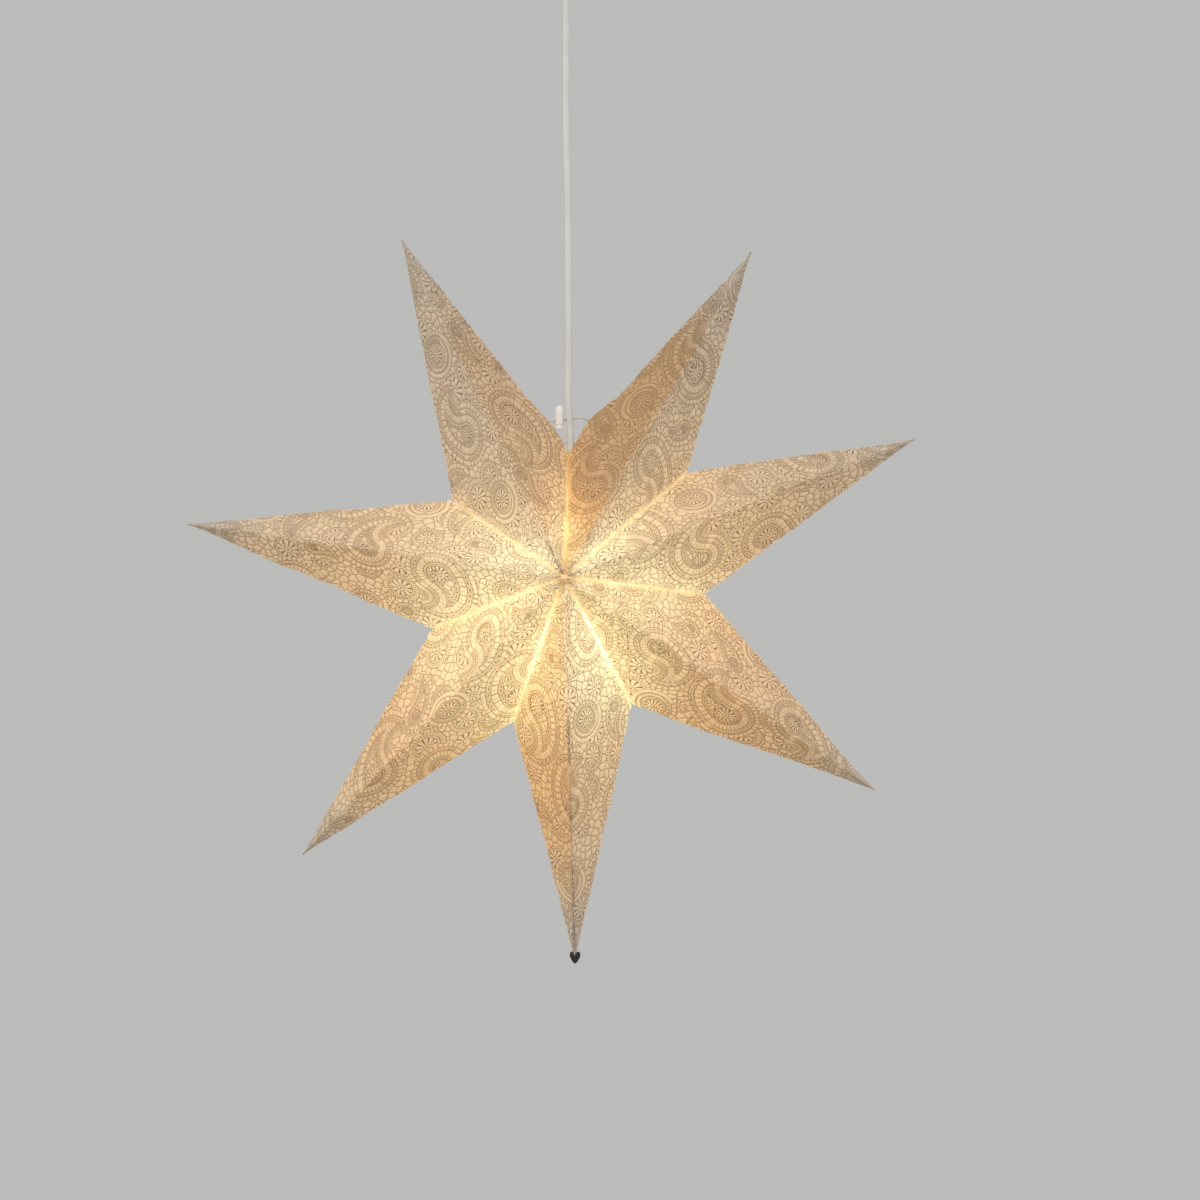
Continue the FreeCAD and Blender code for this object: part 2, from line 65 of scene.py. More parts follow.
def setCamera(view):
    data = bpy.data.cameras.new("starCamera")
    data.lens = view["lens"]
    data.sensor_width = 36.0
    camera = bpy.data.objects.new("starCamera", data)
    camera.location = view["place"]
    camera.rotation_euler = (math.radians(90), 0, 0)
    scene.collection.objects.link(camera)
    scene.camera = camera


setCamera(cameraView)


# small helpers for node trees, which serve the materials and the paper's relief alike
def setInputs(node, inputs):  # fixed values, and values that come from another node
    for name, value in inputs.items():
        if isinstance(value, bpy.types.NodeSocket):
            node.id_data.links.new(value, node.inputs[name])
        else:
            node.inputs[name].default_value = value


def addNode(kind, inputs, **settings):  # in the node tree that its inputs come from
    tree = next(value for value in inputs.values() if isinstance(value, bpy.types.NodeSocket)).id_data
    node = tree.nodes.new(kind)
    for name, value in settings.items():
        setattr(node, name, value)
    setInputs(node, inputs)
    return node.outputs


def calc(operation, *values):
    return addNode("ShaderNodeMath", dict(enumerate(values)), operation=operation)[0]


def plus(first, second):
    return calc("ADD", first, second)


def minus(first, second):
    return calc("SUBTRACT", first, second)


def times(first, second):
    return calc("MULTIPLY", first, second)


def most(first, second):
    return calc("MAXIMUM", first, second)


def unsigned(value):
    return calc("ABSOLUTE", value)


def lengthOf(x, y):
    return calc("SQRT", plus(times(x, x), times(y, y)))


def slope(value, low, high, start=0.0, end=1.0):  # smooth step from start to end
    inputs = {"Value": value, "From Min": low, "From Max": high, "To Min": start, "To Max": end}
    return addNode("ShaderNodeMapRange", inputs, interpolation_type="SMOOTHSTEP")[0]


def fade(value, low, high):  # 1 up to low, 0 from high on
    return slope(value, low, high, 1.0, 0.0)


def stroke(distance, half, soft=0.18):  # 1 on a line, 0 away from it
    return fade(distance, half - soft, half + soft)


def pick(share, first, second):  # first where share is 0, second where it is 1
    return addNode("ShaderNodeMix", {0: share, 2: first, 3: second}, data_type="FLOAT")[0]


def pickColour(share, first, second, blend="MIX"):
    inputs = {0: share, 6: first, 7: second}
    return addNode("ShaderNodeMix", inputs, data_type="RGBA", blend_type=blend)[2]


def split(vector):
    return addNode("ShaderNodeSeparateXYZ", {0: vector})


def moved(operation, first, second):
    inputs = {0: first, "Scale" if operation == "SCALE" else 1: second}
    return addNode("ShaderNodeVectorMath", inputs, operation=operation)[0]


def noise(vector, scale, detail=2.0, rough=0.5):
    inputs = {"Vector": vector, "Scale": scale, "Detail": detail, "Roughness": rough}
    return addNode("ShaderNodeTexNoise", inputs)


def cellsOf(place, feature, size, straying):
    inputs = {"Vector": place, "Scale": 1 / size, "Randomness": straying}
    return addNode("ShaderNodeTexVoronoi", inputs, voronoi_dimensions="2D", feature=feature)


# the lace drawing, in millimetres on the flat sheet
laceDrawing = {
    "pebble": 6.3,           # size of the small cells of the ground
    "pebbleStraying": 0.85,
    "pebbleRise": (0.1, 1.7),  # where a pebble starts to rise from its edge, and where it is up
    "wobble": 0.8,           # how far hand-drawn lines stray
    "wobbleScale": 0.16,
    "lineHalf": 0.38,        # half the width of a drawn line
    "tickHalf": 0.34,
    "tickInk": 0.85,         # ink of a tick, against a line's
    "bead": 0.78,            # radius of a pierced dot
    "beadRing": 1.75,        # radius of the fine ring round it
    "beadRingHalf": 0.22,
    "bands": [               # where each band starts, inwards from the outline, its width and filling
        (-4.2, 4.2, "ladder"),
        (0.0, 4.6, "bead"),
        (4.6, 6.2, "rays"),
        (10.8, 4.4, "bead"),
    ],
    "bandRise": (0.2, 1.3),
    "pitch": {"ladder": 3.1, "bead": 4.1, "rays": 3.7},  # distance between ticks or beads
    "heartDepth": (5.0, 5.1),  # how deep in a figure its flower starts to show
}
# a drawn flower, with its radii as shares of its size
flowerDrawing = {
    "pitch": 29.0,           # distance between the free flowers
    "straying": 0.5,
    "size": 9.2,
    "leastSize": 0.72,       # share of the size that the smallest have
    "chanceSize": 0.45,      # share that chance adds
    "petals": 10,
    "heartPetals": 12,       # petals of a flower in a figure's head
    "scallop": 0.16,         # how far the outline dips between petals
    "gapFrom": 0.28,         # radius from which the gaps between petals widen
    "gapGrowth": 0.13,
    "gapStart": (0.34, 0.42),
    "gapEnd": (0.9, 1.0),
    "eye": 0.31,
    "eyeHalf": 0.36,         # half the width of the eye's line, in millimetres
    "pupil": (0.1, 0.15),
    "ring": 1.16,            # ring round the petals
    "ringHalf": 0.42,
    "petalRise": 0.25,
    "end": (1.18, 1.2),
    "rays": 34,              # rays in the band round some of the flowers
    "rayRing": 1.66,
    "rayEnd": (1.68, 1.7),
    "rayless": 0.5,          # share of the flowers that have no rays
    "rayHeight": 0.9,
}


def circleLine(share, radius, size, half):
    return stroke(times(unsigned(minus(share, radius)), size), half)


def drawFlower(x, y, size, petals):
    f = flowerDrawing
    reach = lengthOf(x, y)
    turn = calc("ARCTAN2", y, x)
    share = calc("DIVIDE", reach, size)
    beat = unsigned(calc("SINE", times(turn, petals / 2)))
    outline = calc("MULTIPLY_ADD", calc("SQRT", beat), f["scallop"], 1 - f["scallop"])
    edge = minus(outline, share)
    rim = stroke(times(unsigned(edge), size), laceDrawing["lineHalf"])
    fromGap = times(times(reach, beat), 2 / petals)
    gapHalf = times(minus(share, f["gapFrom"]), times(size, f["gapGrowth"]))
    gap = fade(minus(fromGap, gapHalf), -0.15, 0.2)
    gap = times(gap, slope(share, *f["gapStart"]))
    gap = times(gap, fade(share, *f["gapEnd"]))
    eyeLine = circleLine(share, f["eye"], size, f["eyeHalf"])
    pupil = fade(share, *f["pupil"])
    ring = circleLine(share, f["ring"], size, f["ringHalf"])
    ink = most(most(rim, eyeLine), most(ring, pupil))
    dome = times(slope(edge, 0.0, f["petalRise"]), minus(1.0, gap))
    return {"share": share, "turn": turn, "ink": ink, "gap": gap, "dome": dome, "reach": reach}


def drawLace(sheetPlace, depth, run, heart):
    d, f = laceDrawing, flowerDrawing
    straying = moved("SUBTRACT", noise(sheetPlace, d["wobbleScale"], 1.0)[1], (0.5, 0.5, 0.5))
    straying = moved("SCALE", straying, 2 * d["wobble"])
    place = moved("ADD", sheetPlace, straying)
    depth = plus(depth, split(straying)[0])
    # ground of small pebbles
    pebbles = cellsOf(place, "DISTANCE_TO_EDGE", d["pebble"], d["pebbleStraying"])
    fromEdge = times(pebbles["Distance"], d["pebble"])
    ink = stroke(fromEdge, d["lineHalf"])
    height = slope(fromEdge, *d["pebbleRise"])
    # free flowers, some with a band of rays
    garden = cellsOf(place, "F1", f["pitch"], f["straying"])
    chance = split(garden["Color"])
    fromFlower = split(moved("SUBTRACT", place, garden["Position"]))
    size = calc("MULTIPLY_ADD", chance[0], f["chanceSize"] * f["size"], f["leastSize"] * f["size"])
    flower = drawFlower(fromFlower[0], fromFlower[1], size, f["petals"])
    rayBeat = unsigned(calc("SINE", times(flower["turn"], f["rays"] / 2)))
    fromRay = times(times(flower["reach"], rayBeat), 2 / f["rays"])
    rayInk = times(stroke(fromRay, d["tickHalf"]), d["tickInk"])
    rayInk = most(rayInk, circleLine(flower["share"], f["rayRing"], size, d["lineHalf"]))
    inRays = fade(flower["share"], *f["rayEnd"])
    inRays = times(inRays, calc("GREATER_THAN", chance[1], f["rayless"]))
    ink = pick(inRays, ink, rayInk)
    height = pick(inRays, height, minus(f["rayHeight"], rayInk))
    inFlower = fade(flower["share"], *f["end"])
    ink = pick(inFlower, ink, flower["ink"])
    height = pick(inFlower, height, flower["dome"])
    gap = times(inFlower, flower["gap"])
    # paisleys, leaves and roundels: bands that follow the outline
    bandInk, bandGap, bandHeight = 0.0, 0.0, 0.0
    for start, width, filling in d["bands"]:
        inBand = minus(depth, start)
        here = calc("COMPARE", inBand, width / 2, width / 2)
        pitch = d["pitch"][filling]
        onTick = minus(calc("FRACT", calc("DIVIDE", run, pitch)), 0.5)
        along = times(onTick, pitch)
        across = minus(inBand, width / 2)
        border = minus(width / 2, unsigned(across))
        drawing = stroke(border, d["lineHalf"])
        if filling == "bead":
            fromBead = lengthOf(along, across)
            dot = stroke(fromBead, d["bead"])
            bandGap = most(bandGap, times(here, dot))
            fromRing = unsigned(minus(fromBead, d["beadRing"]))
            filled = stroke(fromRing, d["beadRingHalf"])
        else:
            filled = stroke(unsigned(along), d["tickHalf"])
        drawing = most(drawing, times(filled, d["tickInk"]))
        raised = times(slope(border, *d["bandRise"]), minus(1.0, drawing))
        bandInk = most(bandInk, times(here, drawing))
        bandHeight = most(bandHeight, times(here, raised))
    first, last = d["bands"][0], d["bands"][-1]
    outside = minus(first[0], depth)
    inside = minus(depth, last[0] + last[1])
    inMotif = times(fade(outside, -0.05, 0.05), fade(inside, -0.05, 0.05))
    ink = pick(inMotif, ink, bandInk)
    height = pick(inMotif, height, bandHeight)
    gap = pick(inMotif, gap, bandGap)
    # a flower in each figure's head
    core = split(heart)
    inner = drawFlower(core[0], core[1], core[2], f["heartPetals"])
    inHeart = times(fade(inner["share"], *f["end"]), slope(depth, *d["heartDepth"]))
    ink = pick(inHeart, ink, inner["ink"])
    height = pick(inHeart, height, inner["dome"])
    gap = most(gap, times(inHeart, inner["gap"]))
    return ink, gap, height


# the large figures of one repeat of the drawing: head's place and radius, direction and length of the
# tail, and how far the tail curls
laceRepeat = {"width": 132.0, "height": 112.0, "cutTurn": 137.5, "cutStep": (57.0, 83.0)}
figureShape = {
    "steps": 44,
    "curlGrowth": 1.3,      # a tail curls more and more towards its end
    "taper": 0.75,
    "tailRadius": 1.6,      # radius at the end of a tail
    "headRun": 0.8,         # how fast the run goes round the head, against along the tail
}
laceFigures = [
    {"head": (34.0, 34.0), "radius": 23.0, "heading": 52.0, "tail": 62.0, "curl": -150.0, "heart": 8.4},
    {"head": (100.0, 86.0), "radius": 20.5, "heading": 238.0, "tail": 57.0, "curl": -165.0, "heart": 6.4},
    {"head": (30.0, 92.0), "radius": 14.5, "heading": 30.0, "tail": 1.0, "curl": 0.0, "heart": 7.8},
    {"head": (90.0, 14.0), "radius": 9.5, "heading": -8.0, "tail": 30.0, "curl": 70.0, "heart": 3.6},
    {"head": (120.0, 45.0), "radius": 8.0, "heading": 110.0, "tail": 20.0, "curl": -70.0, "heart": 2.5},
]


def figureSpine(figure):
    steps = figureShape["steps"]
    share = np.linspace(0, 1, steps)
    heading = np.radians(figure["heading"] + figure["curl"] * share ** figureShape["curlGrowth"])
    step = figure["tail"] / (steps - 1)
    x = figure["head"][0] + np.concatenate([[0], np.cumsum(np.cos(heading[:-1]) * step)])
    y = figure["head"][1] + np.concatenate([[0], np.cumsum(np.sin(heading[:-1]) * step)])
    radius = figure["radius"] * (1 - share) ** figureShape["taper"] + figureShape["tailRadius"] * share
    if figure["curl"] == 0:  # a roundel
        radius = np.full(steps, figure["radius"])
    return x, y, radius, share * figure["tail"], heading


def traceFigures(place):  # depth inside the nearest figure, run along its outline, place from its heart
    depth = np.full(len(place), -40.0)  # far outside every figure
    run = np.zeros(len(place))
    heart = np.tile(np.array([50.0, 50.0, 1.0]), (len(place), 1))  # far from every heart
    width, height = laceRepeat["width"], laceRepeat["height"]
    low, high = place.min(axis=0), place.max(axis=0)
    for figure in laceFigures:
        x, y, radius, length, heading = figureSpine(figure)
        for column in range(math.floor(low[0] / width) - 1, math.ceil(high[0] / width) + 1):
            for row in range(math.floor(low[1] / height) - 1, math.ceil(high[1] / height) + 1):
                shift = np.array([column * width + (row % 2) * width * 0.5, row * height])
                middle = np.array([x.mean(), y.mean()]) + shift
                near = np.hypot(*(place - middle).T) < figure["tail"] * 0.6 + figure["radius"] + 12
                if not near.any():
                    continue
                p = place[near] - shift
                reach = np.hypot(p[:, :1] - x, p[:, 1:] - y)
                inside = radius - reach
                best = inside.argmax(axis=1)
                found = inside.max(axis=1)
                rows = np.arange(len(p))
                away = p - np.stack([x[best], y[best]], axis=1)
                ahead = np.arctan2(away[:, 1], away[:, 0]) - heading[best]
                ahead = (ahead + np.pi) % (2 * np.pi) - np.pi
                side = np.where(ahead >= 0, 1.0, -1.0)
                along = side * length[best]
                back = np.abs(ahead) > np.pi / 2
                cap = (best == 0) & back
                headRun = -side * (np.abs(ahead) - np.pi / 2) * figure["radius"] * figureShape["headRun"]
                along = np.where(cap, headRun, along)
                index = np.flatnonzero(near)
                better = found > depth[index]
                index = index[better]
                depth[index] = found[better]
                run[index] = along[better]
                heart[index, 0:2] = (p - np.array(figure["head"]))[better]
                heart[index, 2] = figure["heart"]
    return depth, run, heart


# the folded paper of the star
star = {
    "centre": (0.0, 0.0, -542.0),
    "halfDepth": 90.0,
    "tips": [(115.9, 298.0), (60.4, 297.5), (21.7, 297.5), (-34.5, 296.7),
             (-88.7, 303.0), (-133.6, 303.0), (-188.1, 303.0)],   # angle and distance
    "folds": [(145.6, 108.9), (88.6, 103.0), (41.0, 127.5), (-6.6, 110.5),
              (-62.5, 112.8), (-110.2, 121.0), (-159.2, 113.4)],  # the fold before each point
    "openFold": 1,
    "seamGap": 5.4,         # width of the open seam at its fold
    "seamRest": 0.10,       # share of that width that stays open towards the apex
    "seamClose": 0.035,     # how soon the rest closes
    "bellies": [(1, -1, 5.4), (0, 1, 2.2)],  # point, side of the open fold, how far its edge bellies out
    "bellyAt": 27.0,        # from the open fold, along the edge
    "bellyLong": 20.0,
    "bellyWide": 22.0,
}
paper = {
    "around": 420,          # grid steps round a point, a multiple of four
    "along": 205,           # grid steps from the tip to the folds
    "innerAround": 60,
    "innerAlong": 30,
    "tipCut": 0.006,        # share of a point's length that is cut off at its tip
    "ridgeWidth": 6.0,      # how far from a ridge the paper starts to round over
    "edgeWidth": 1.3,
    "roundShare": 0.3,      # share of a face that its rounding takes at most
    "foldShare": 0.05,      # share of a point's length, by the folds, where the rounding ends
    "thickness": 0.6,
    "innerGap": 0.6,        # extra room for the relief, between outer and inner side
    "wave": 0.9,            # how far the soft paper waves in and out
    "waves": (95, 62, 41, 30),  # lengths of the waves
    "waveSeed": 11,
    "stillTip": 0.12,       # share of a point's length, by the tip, where the waves come up
    "stillFold": 30.0,      # distance from a fold over which they come up
    "crease": 1.6,          # how deep the paper sinks at a fold
    "creaseHalf": 1.8,
    "relief": 0.9,          # height of the embossed lace
    "reliefTip": 0.2,       # share of a point's length, by the tip, where the lace comes up
    "reliefFold": 2.5,
    "lip": 2.5,             # how far each fold's edge turns in
    "facetBlend": 12,       # grid steps beside a ridge over which one facet's light turns into the other's
}
lampGlow = {
    "bulb": (4.0, 0.0, -31.0),     # from the star's centre
    "direct": 0.12,                # light that falls straight on the paper, this far from the bulb
    "directAt": 95.0,
    "spread": 0.95,                # light that the paper throws about inside
    "spreadReach": 176.0,
    # share of the light that each point's two facets get, the facet by the fold before it first
    "facets": [(0.62, 0.56), (0.30, 0.70), (0.84, 1.02), (0.87, 0.96),
               (0.88, 0.94), (1.14, 1.16), (1.16, 1.02)],
    "facetRise": (8.0, 90.0),      # radius where the facets start to differ, and over which they do
    "tipDim": 0.64,
    "tipRise": (235.0, 65.0),
    "apexDim": 0.55,
    "apexReach": 5.0,
    "line": 0.36,                  # share of a fold's shine in its bright line
    "halo": 0.56,
    "foldLine": 2.3,               # width of the bright line at a fold
    "foldHalo": 9.0,               # width of the soft light beside it
    "folds": [0.25, 0.44, 0.36, 0.25, 0.52, 0.55, 0.27],   # how brightly each fold shines
    "foldDim": 0.35,               # how much less it shines at its outer end
    "foldDimOver": 110.0,
    "foldRise": (4.0, 36.0),
    "innerFold": 0.1,
    "yellow": (0.38, 0.34),        # light from which the glow turns from orange to yellow, and over which
    "burn": (0.85, 0.6),           # and from yellow to white
    "green": (0.60, 0.22, 0.05),   # green share of the glow: orange, added in yellow, added in white
    "blue": (0.20, 0.22, 0.20),
    "inside": (2.0, 1.9, 1.5),     # the inner side is nearer to the light
}
# the drawn lines fade in the bright light of a fold, and towards the tip
lineFade = {
    "fold": 0.5,
    "foldHalf": 2.3,
    "tip": 0.3,
    "tipShare": 0.3,
}
# painted shade: how much warmer and darker each point's two facets are painted where less daylight falls on
# them, in the same order
facetPaintedShade = [(0.0, 0.45), (0.9, 0.0), (0.15, 0.12), (0.35, 0.4), (0.05, 0.65), (0.3, 0.4), (0.15, 0.12)]
paintedShadeEnd = (190.0, 90.0)  # radius where the painted shade starts to fade, and over which it does
# ridges that carry a glue seam on the front, with painted shadow under its overlapping edge: point, start and
# end as shares of the way from the tip
ridgeSeamsAndShadow = [
    {"point": 4, "start": 0.02, "end": 0.66, "shade": 0.80, "half": 1.9},
    {"point": 0, "start": 0.89, "end": 1.0, "shade": 0.92, "half": 2.1},
    {"point": 2, "start": 0.93, "end": 1.0, "shade": 0.80, "half": 1.7},
]
apexPaintedShade = {"shade": 0.45, "reach": 9.0, "spots": 14}  # painted shade round the front apex, where the paper gathers in folds
bodyOfPoint = ["point_1", "point_2", "point_3", "point_4", "star_base", "point_6", "point_7"]


def onPlane(angle, distance):
    return np.array([distance * math.cos(math.radians(angle)), 0.0, distance * math.sin(math.radians(angle))])


def foldCorner(index, side):
    angle, distance = star["folds"][index % 7]
    corner = onPlane(angle, distance)
    if index % 7 == star["openFold"]:
        corner = corner + onPlane(angle + 90, 1.0) * (side * star["seamGap"] / 2)
    return corner


def pointCorners(index):  # tip, then the loop of corners: back, left fold, front, right fold, back
    front = np.array([0.0, -star["halfDepth"], 0.0])
    tip = onPlane(*star["tips"][index])
    left, right = foldCorner(index, -1), foldCorner(index + 1, 1)
    return tip, [-front, left, front, right, -front]


def smooth(x):
    x = np.clip(x, 0, 1)
    return x * x * (3 - 2 * x)


def rising(value, start, over):  # 0 up to start, 1 from start + over on
    return smooth((value - start) / over)


def unitOf(vector):
    return vector / np.linalg.norm(vector, axis=-1, keepdims=True)


def closeSeam(share):  # how open the seam is, from its fold to the star's apex
    closing = np.exp(-(share / star["seamClose"]) ** 2)
    return (1 - share) * (star["seamRest"] + (1 - star["seamRest"]) * closing)


def bellied(place, index):  # the paper bellies out above the open fold, beside the cord
    for point, side, rise in star["bellies"]:
        if point == index:
            corner = foldCorner(star["openFold"], side)
            edge = unitOf(onPlane(*star["tips"][index]) - corner)
            out = np.array([edge[2], 0.0, -edge[0]]) * side
            along = (place - corner) @ edge
            away = np.linalg.norm(place - corner - along[..., None] * edge, axis=-1)
            off = ((along - star["bellyAt"]) / star["bellyLong"]) ** 2 + (away / star["bellyWide"]) ** 2
            place = place + (rise * np.exp(-off))[..., None] * out
    return place


def roundOver(place, rows, length, nearer, onRidge, mine, across):
    # bends the sheet over from its own way to the next face's, less near the tip and not at the folds
    share = rows[:, 0, 0]
    width = paper["ridgeWidth"] if onRidge else paper["edgeWidth"]
    width = np.minimum(width, paper["roundShare"] * length * share)
    width = (width * (1 - rising(share, 1 - paper["foldShare"], paper["foldShare"])))[:, None] + 1e-6
    distance = share[:, None] * length * nearer[None, :]
    turn = np.clip((width - distance) / (2 * width), 0, 0.5)
    bend = ((1 - turn) ** 2 * width - distance)[:, :, None] * mine + (turn ** 2 * width)[:, :, None] * across
    return place + np.where((distance < width)[:, :, None], bend, 0)


def sleeve(index, around, along, inset=0.0):
    # rows run from the tip to the folds, columns once round from the back ridge
    tip, loop = pointCorners(index)
    rows = np.linspace(paper["tipCut"], 1.0, along + 1)[:, None, None]
    columns, flat, turned, fold = [], [], 0.0, []
    for side in range(4):
        a, b = loop[side], loop[side + 1]
        f = np.linspace(0, 1, around // 4 + 1)[:, None]
        if side < 3:
            f = f[:-1]
        straight = a + f * (b - a)
        length = np.linalg.norm(b - a)
        for corner, fromCorner in ((a, f), (b, 1 - f)):
            gapSide = corner - foldCorner(star["openFold"], 0)
            if np.linalg.norm(gapSide) < star["seamGap"]:
                straight = straight + gapSide * (closeSeam(fromCorner) - (1 - fromCorner))
        reach = np.linalg.norm(straight - tip, axis=1)
        cosine = ((straight - tip) @ unitOf(a - tip)) / reach
        angle = np.arccos(np.clip(cosine, -1, 1))
        place = tip + rows * (straight - tip)
        mine = unitOf(b - a)
        before, after = loop[(side + 3) % 4], loop[(side + 2) % 4]
        place = roundOver(place, rows, length, f[:, 0], abs(a[1]) > 1, mine, unitOf(before - a))
        place = roundOver(place, rows, length, 1 - f[:, 0], abs(b[1]) > 1, -mine, unitOf(after - b))
        columns.append(place)
        ray = rows[:, :, 0] * reach[None, :]
        flat.append(np.stack([ray * np.cos(turned + angle), ray * np.sin(turned + angle)], axis=2))
        turned += np.arccos(np.clip(unitOf(b - tip) @ unitOf(a - tip), -1, 1))
        height = np.linalg.norm(np.cross(b - a, tip - a)) / length
        fold.append(np.broadcast_to((1 - rows[:, :, 0]) * height, ray.shape))
    place = bellied(np.concatenate(columns, axis=1), index)
    flat = np.concatenate(flat, axis=1)
    fold = np.concatenate(fold, axis=1)
    normal = np.cross(np.gradient(place, axis=1), np.gradient(place, axis=0))
    normal /= np.linalg.norm(normal, axis=2, keepdims=True) + 1e-12
    middle = (loop[1] + loop[3] + tip) / 3
    if (normal * (place - middle)).sum() < 0:
        normal = -normal
    return place - normal * inset, flat, fold, normal, turned


def wavy(place, seed):
    lengths = paper["waves"]
    waves = np.zeros(place.shape[:2])
    mixer = np.random.default_rng(seed)
    for length in lengths:
        direction = unitOf(mixer.normal(size=3))
        phase = place @ direction * (2 * np.pi / length) + mixer.uniform(0, 6.28)
        waves += np.sin(phase) * length / lengths[0]
    return waves / 2.2  # keeps them between about -1 and 1


def waved(place, normal, fold, index):  # the paper waves in and out, away from its tip and its folds
    share = np.linspace(0, 1, len(place))[:, None]
    soft = smooth(share / paper["stillTip"]) * smooth(fold / paper["stillFold"])
    rise = wavy(place, paper["waveSeed"] + index) * paper["wave"] * soft
    return place + normal * rise[:, :, None]


def glowAt(place, normal, fold, foldShine, facetShare, inner=False):
    g = lampGlow
    away = place - np.array(g["bulb"])
    reach = np.linalg.norm(away, axis=-1)
    facing = np.clip((away * normal).sum(axis=-1) / reach, 0, 1)
    radial = np.hypot(place[..., 0], place[..., 2])
    light = g["direct"] * facing * (g["directAt"] / reach) ** 2
    light = light + g["spread"] * np.exp(-reach / g["spreadReach"])
    light = light * (1 + (facetShare - 1) * rising(radial, *g["facetRise"]))
    light = light * (1 - g["tipDim"] * rising(radial, *g["tipRise"]))
    line = g["line"] * np.exp(-(fold / g["foldLine"]) ** 2) + g["halo"] * np.exp(-fold / g["foldHalo"])
    line = line * (1 - g["foldDim"] * smooth(radial / g["foldDimOver"])) * rising(radial, *g["foldRise"])
    light = light + foldShine * line
    light = light * (1 - g["apexDim"] * np.exp(-(radial / g["apexReach"]) ** 2))
    yellow = rising(light, *g["yellow"])
    burn = rising(light, *g["burn"])
    green, blue = [part[0] + part[1] * yellow + part[2] * burn for part in (g["green"], g["blue"])]
    colour = np.stack([light, light * green, light * blue], axis=-1)
    return colour * np.array(g["inside"]) if inner else colour


def gridFaces(rows, columns, start=0):
    index = np.arange(rows * columns).reshape(rows, columns) + start
    quads = np.stack([index[:-1, :-1], index[:-1, 1:], index[1:, 1:], index[1:, :-1]], axis=-1)
    return quads.reshape(-1, 4)


def meshFrom(name, vertices, quads, flip=False):
    mesh = bpy.data.meshes.new(name)
    quads = quads[:, ::-1] if flip else quads
    mesh.vertices.add(len(vertices))
    mesh.vertices.foreach_set("co", np.asarray(vertices, np.float32).ravel())
    mesh.loops.add(quads.size)
    mesh.loops.foreach_set("vertex_index", np.ascontiguousarray(quads, np.int32).ravel())
    mesh.polygons.add(len(quads))
    mesh.polygons.foreach_set("loop_start", np.arange(0, quads.size, 4, dtype=np.int32))
    mesh.polygons.foreach_set("use_smooth", np.ones(len(quads), bool))
    mesh.update(calc_edges=True)
    mesh.validate()
    return mesh


def place3d(points):  # millimetres from the star's centre to metres in the frame
    return (points.reshape(-1, 3) + np.array(star["centre"])) * mm


def addPiece(name, mesh, material):
    piece = bpy.data.objects.new(name, mesh)
    scene.collection.objects.link(piece)
    mesh.materials.clear()
    mesh.materials.append(material)
    return piece


def storeVector(mesh, name, values):
    attribute = mesh.attributes.new(name, "FLOAT_VECTOR", "POINT")
    attribute.data.foreach_set("vector", np.asarray(values, np.float32).ravel())


def storeNumber(mesh, name, values):
    attribute = mesh.attributes.new(name, "FLOAT", "POINT")
    attribute.data.foreach_set("value", np.asarray(values, np.float32).ravel())


def storeColour(mesh, name, values):
    attribute = mesh.attributes.new(name, "FLOAT_COLOR", "POINT")
    opaque = np.column_stack([values, np.ones(len(values))])
    attribute.data.foreach_set("color", opaque.astype(np.float32).ravel())


def makeRelief():  # raises the drawn lace from the sheet
    tree = bpy.data.node_groups.new("laceRelief", "GeometryNodeTree")
    tree.interface.new_socket("Geometry", in_out="INPUT", socket_type="NodeSocketGeometry")
    tree.interface.new_socket("Geometry", in_out="OUTPUT", socket_type="NodeSocketGeometry")
    start = tree.nodes.new("NodeGroupInput")
    end = tree.nodes.new("NodeGroupOutput")

    def named(name, kind):
        node = tree.nodes.new("GeometryNodeInputNamedAttribute")
        node.data_type = kind
        node.inputs["Name"].default_value = name
        return node.outputs["Attribute"]

    place, depth = named("sheetPlace", "FLOAT_VECTOR"), named("figureDepth", "FLOAT")
    run, heart = named("figureRun", "FLOAT"), named("figureHeart", "FLOAT_VECTOR")
    height = drawLace(place, depth, run, heart)[2]
    rise = times(minus(height, 0.6), named("reliefHeight", "FLOAT"))  # mostly inwards
    move = tree.nodes.new("GeometryNodeSetPosition")
    normal = tree.nodes.new("GeometryNodeInputNormal")
    offset = moved("SCALE", normal.outputs[0], rise)
    setInputs(move, {"Geometry": start.outputs[0], "Offset": offset})
    setInputs(end, {0: move.outputs[0]})
    return tree


def attributeNode(tree, name, output):
    node = tree.nodes.new("ShaderNodeAttribute")
    node.attribute_name = name
    return node.outputs[output]


paperFinish = {
    "cream": (0.50, 0.435, 0.36, 1.0),
    "shade": (0.355, 0.283, 0.216, 1.0),  # brown-beige lines of the lace
    "gap": (0.27, 0.205, 0.15, 1.0),      # dark gaps between petals
    "seam": (0.11, 0.075, 0.075, 1.0),    # glue seams with painted shadow, and painted shade round the apex
    "warm": (0.97, 0.74, 0.48, 1.0),      # painted shade: tint of the facets that get less daylight
    "lineGlow": (0.38, 0.29, 0.17, 1.0),  # how much of the glow comes through a line
    "gapGlow": (0.24, 0.16, 0.08, 1.0),
    "roughness": 0.85,
}


def newMaterial(name):
    material = bpy.data.materials.new(name)
    material.use_nodes = True
    tree = material.node_tree
    tree.nodes.clear()
    shader = tree.nodes.new("ShaderNodeBsdfPrincipled")
    output = tree.nodes.new("ShaderNodeOutputMaterial")
    setInputs(output, {0: shader.outputs[0]})
    return material, tree, shader


def bumped(shader, height, distance, strength=1.0):
    inputs = {"Strength": strength, "Distance": distance, "Height": height}
    setInputs(shader, {"Normal": addNode("ShaderNodeBump", inputs)[0]})


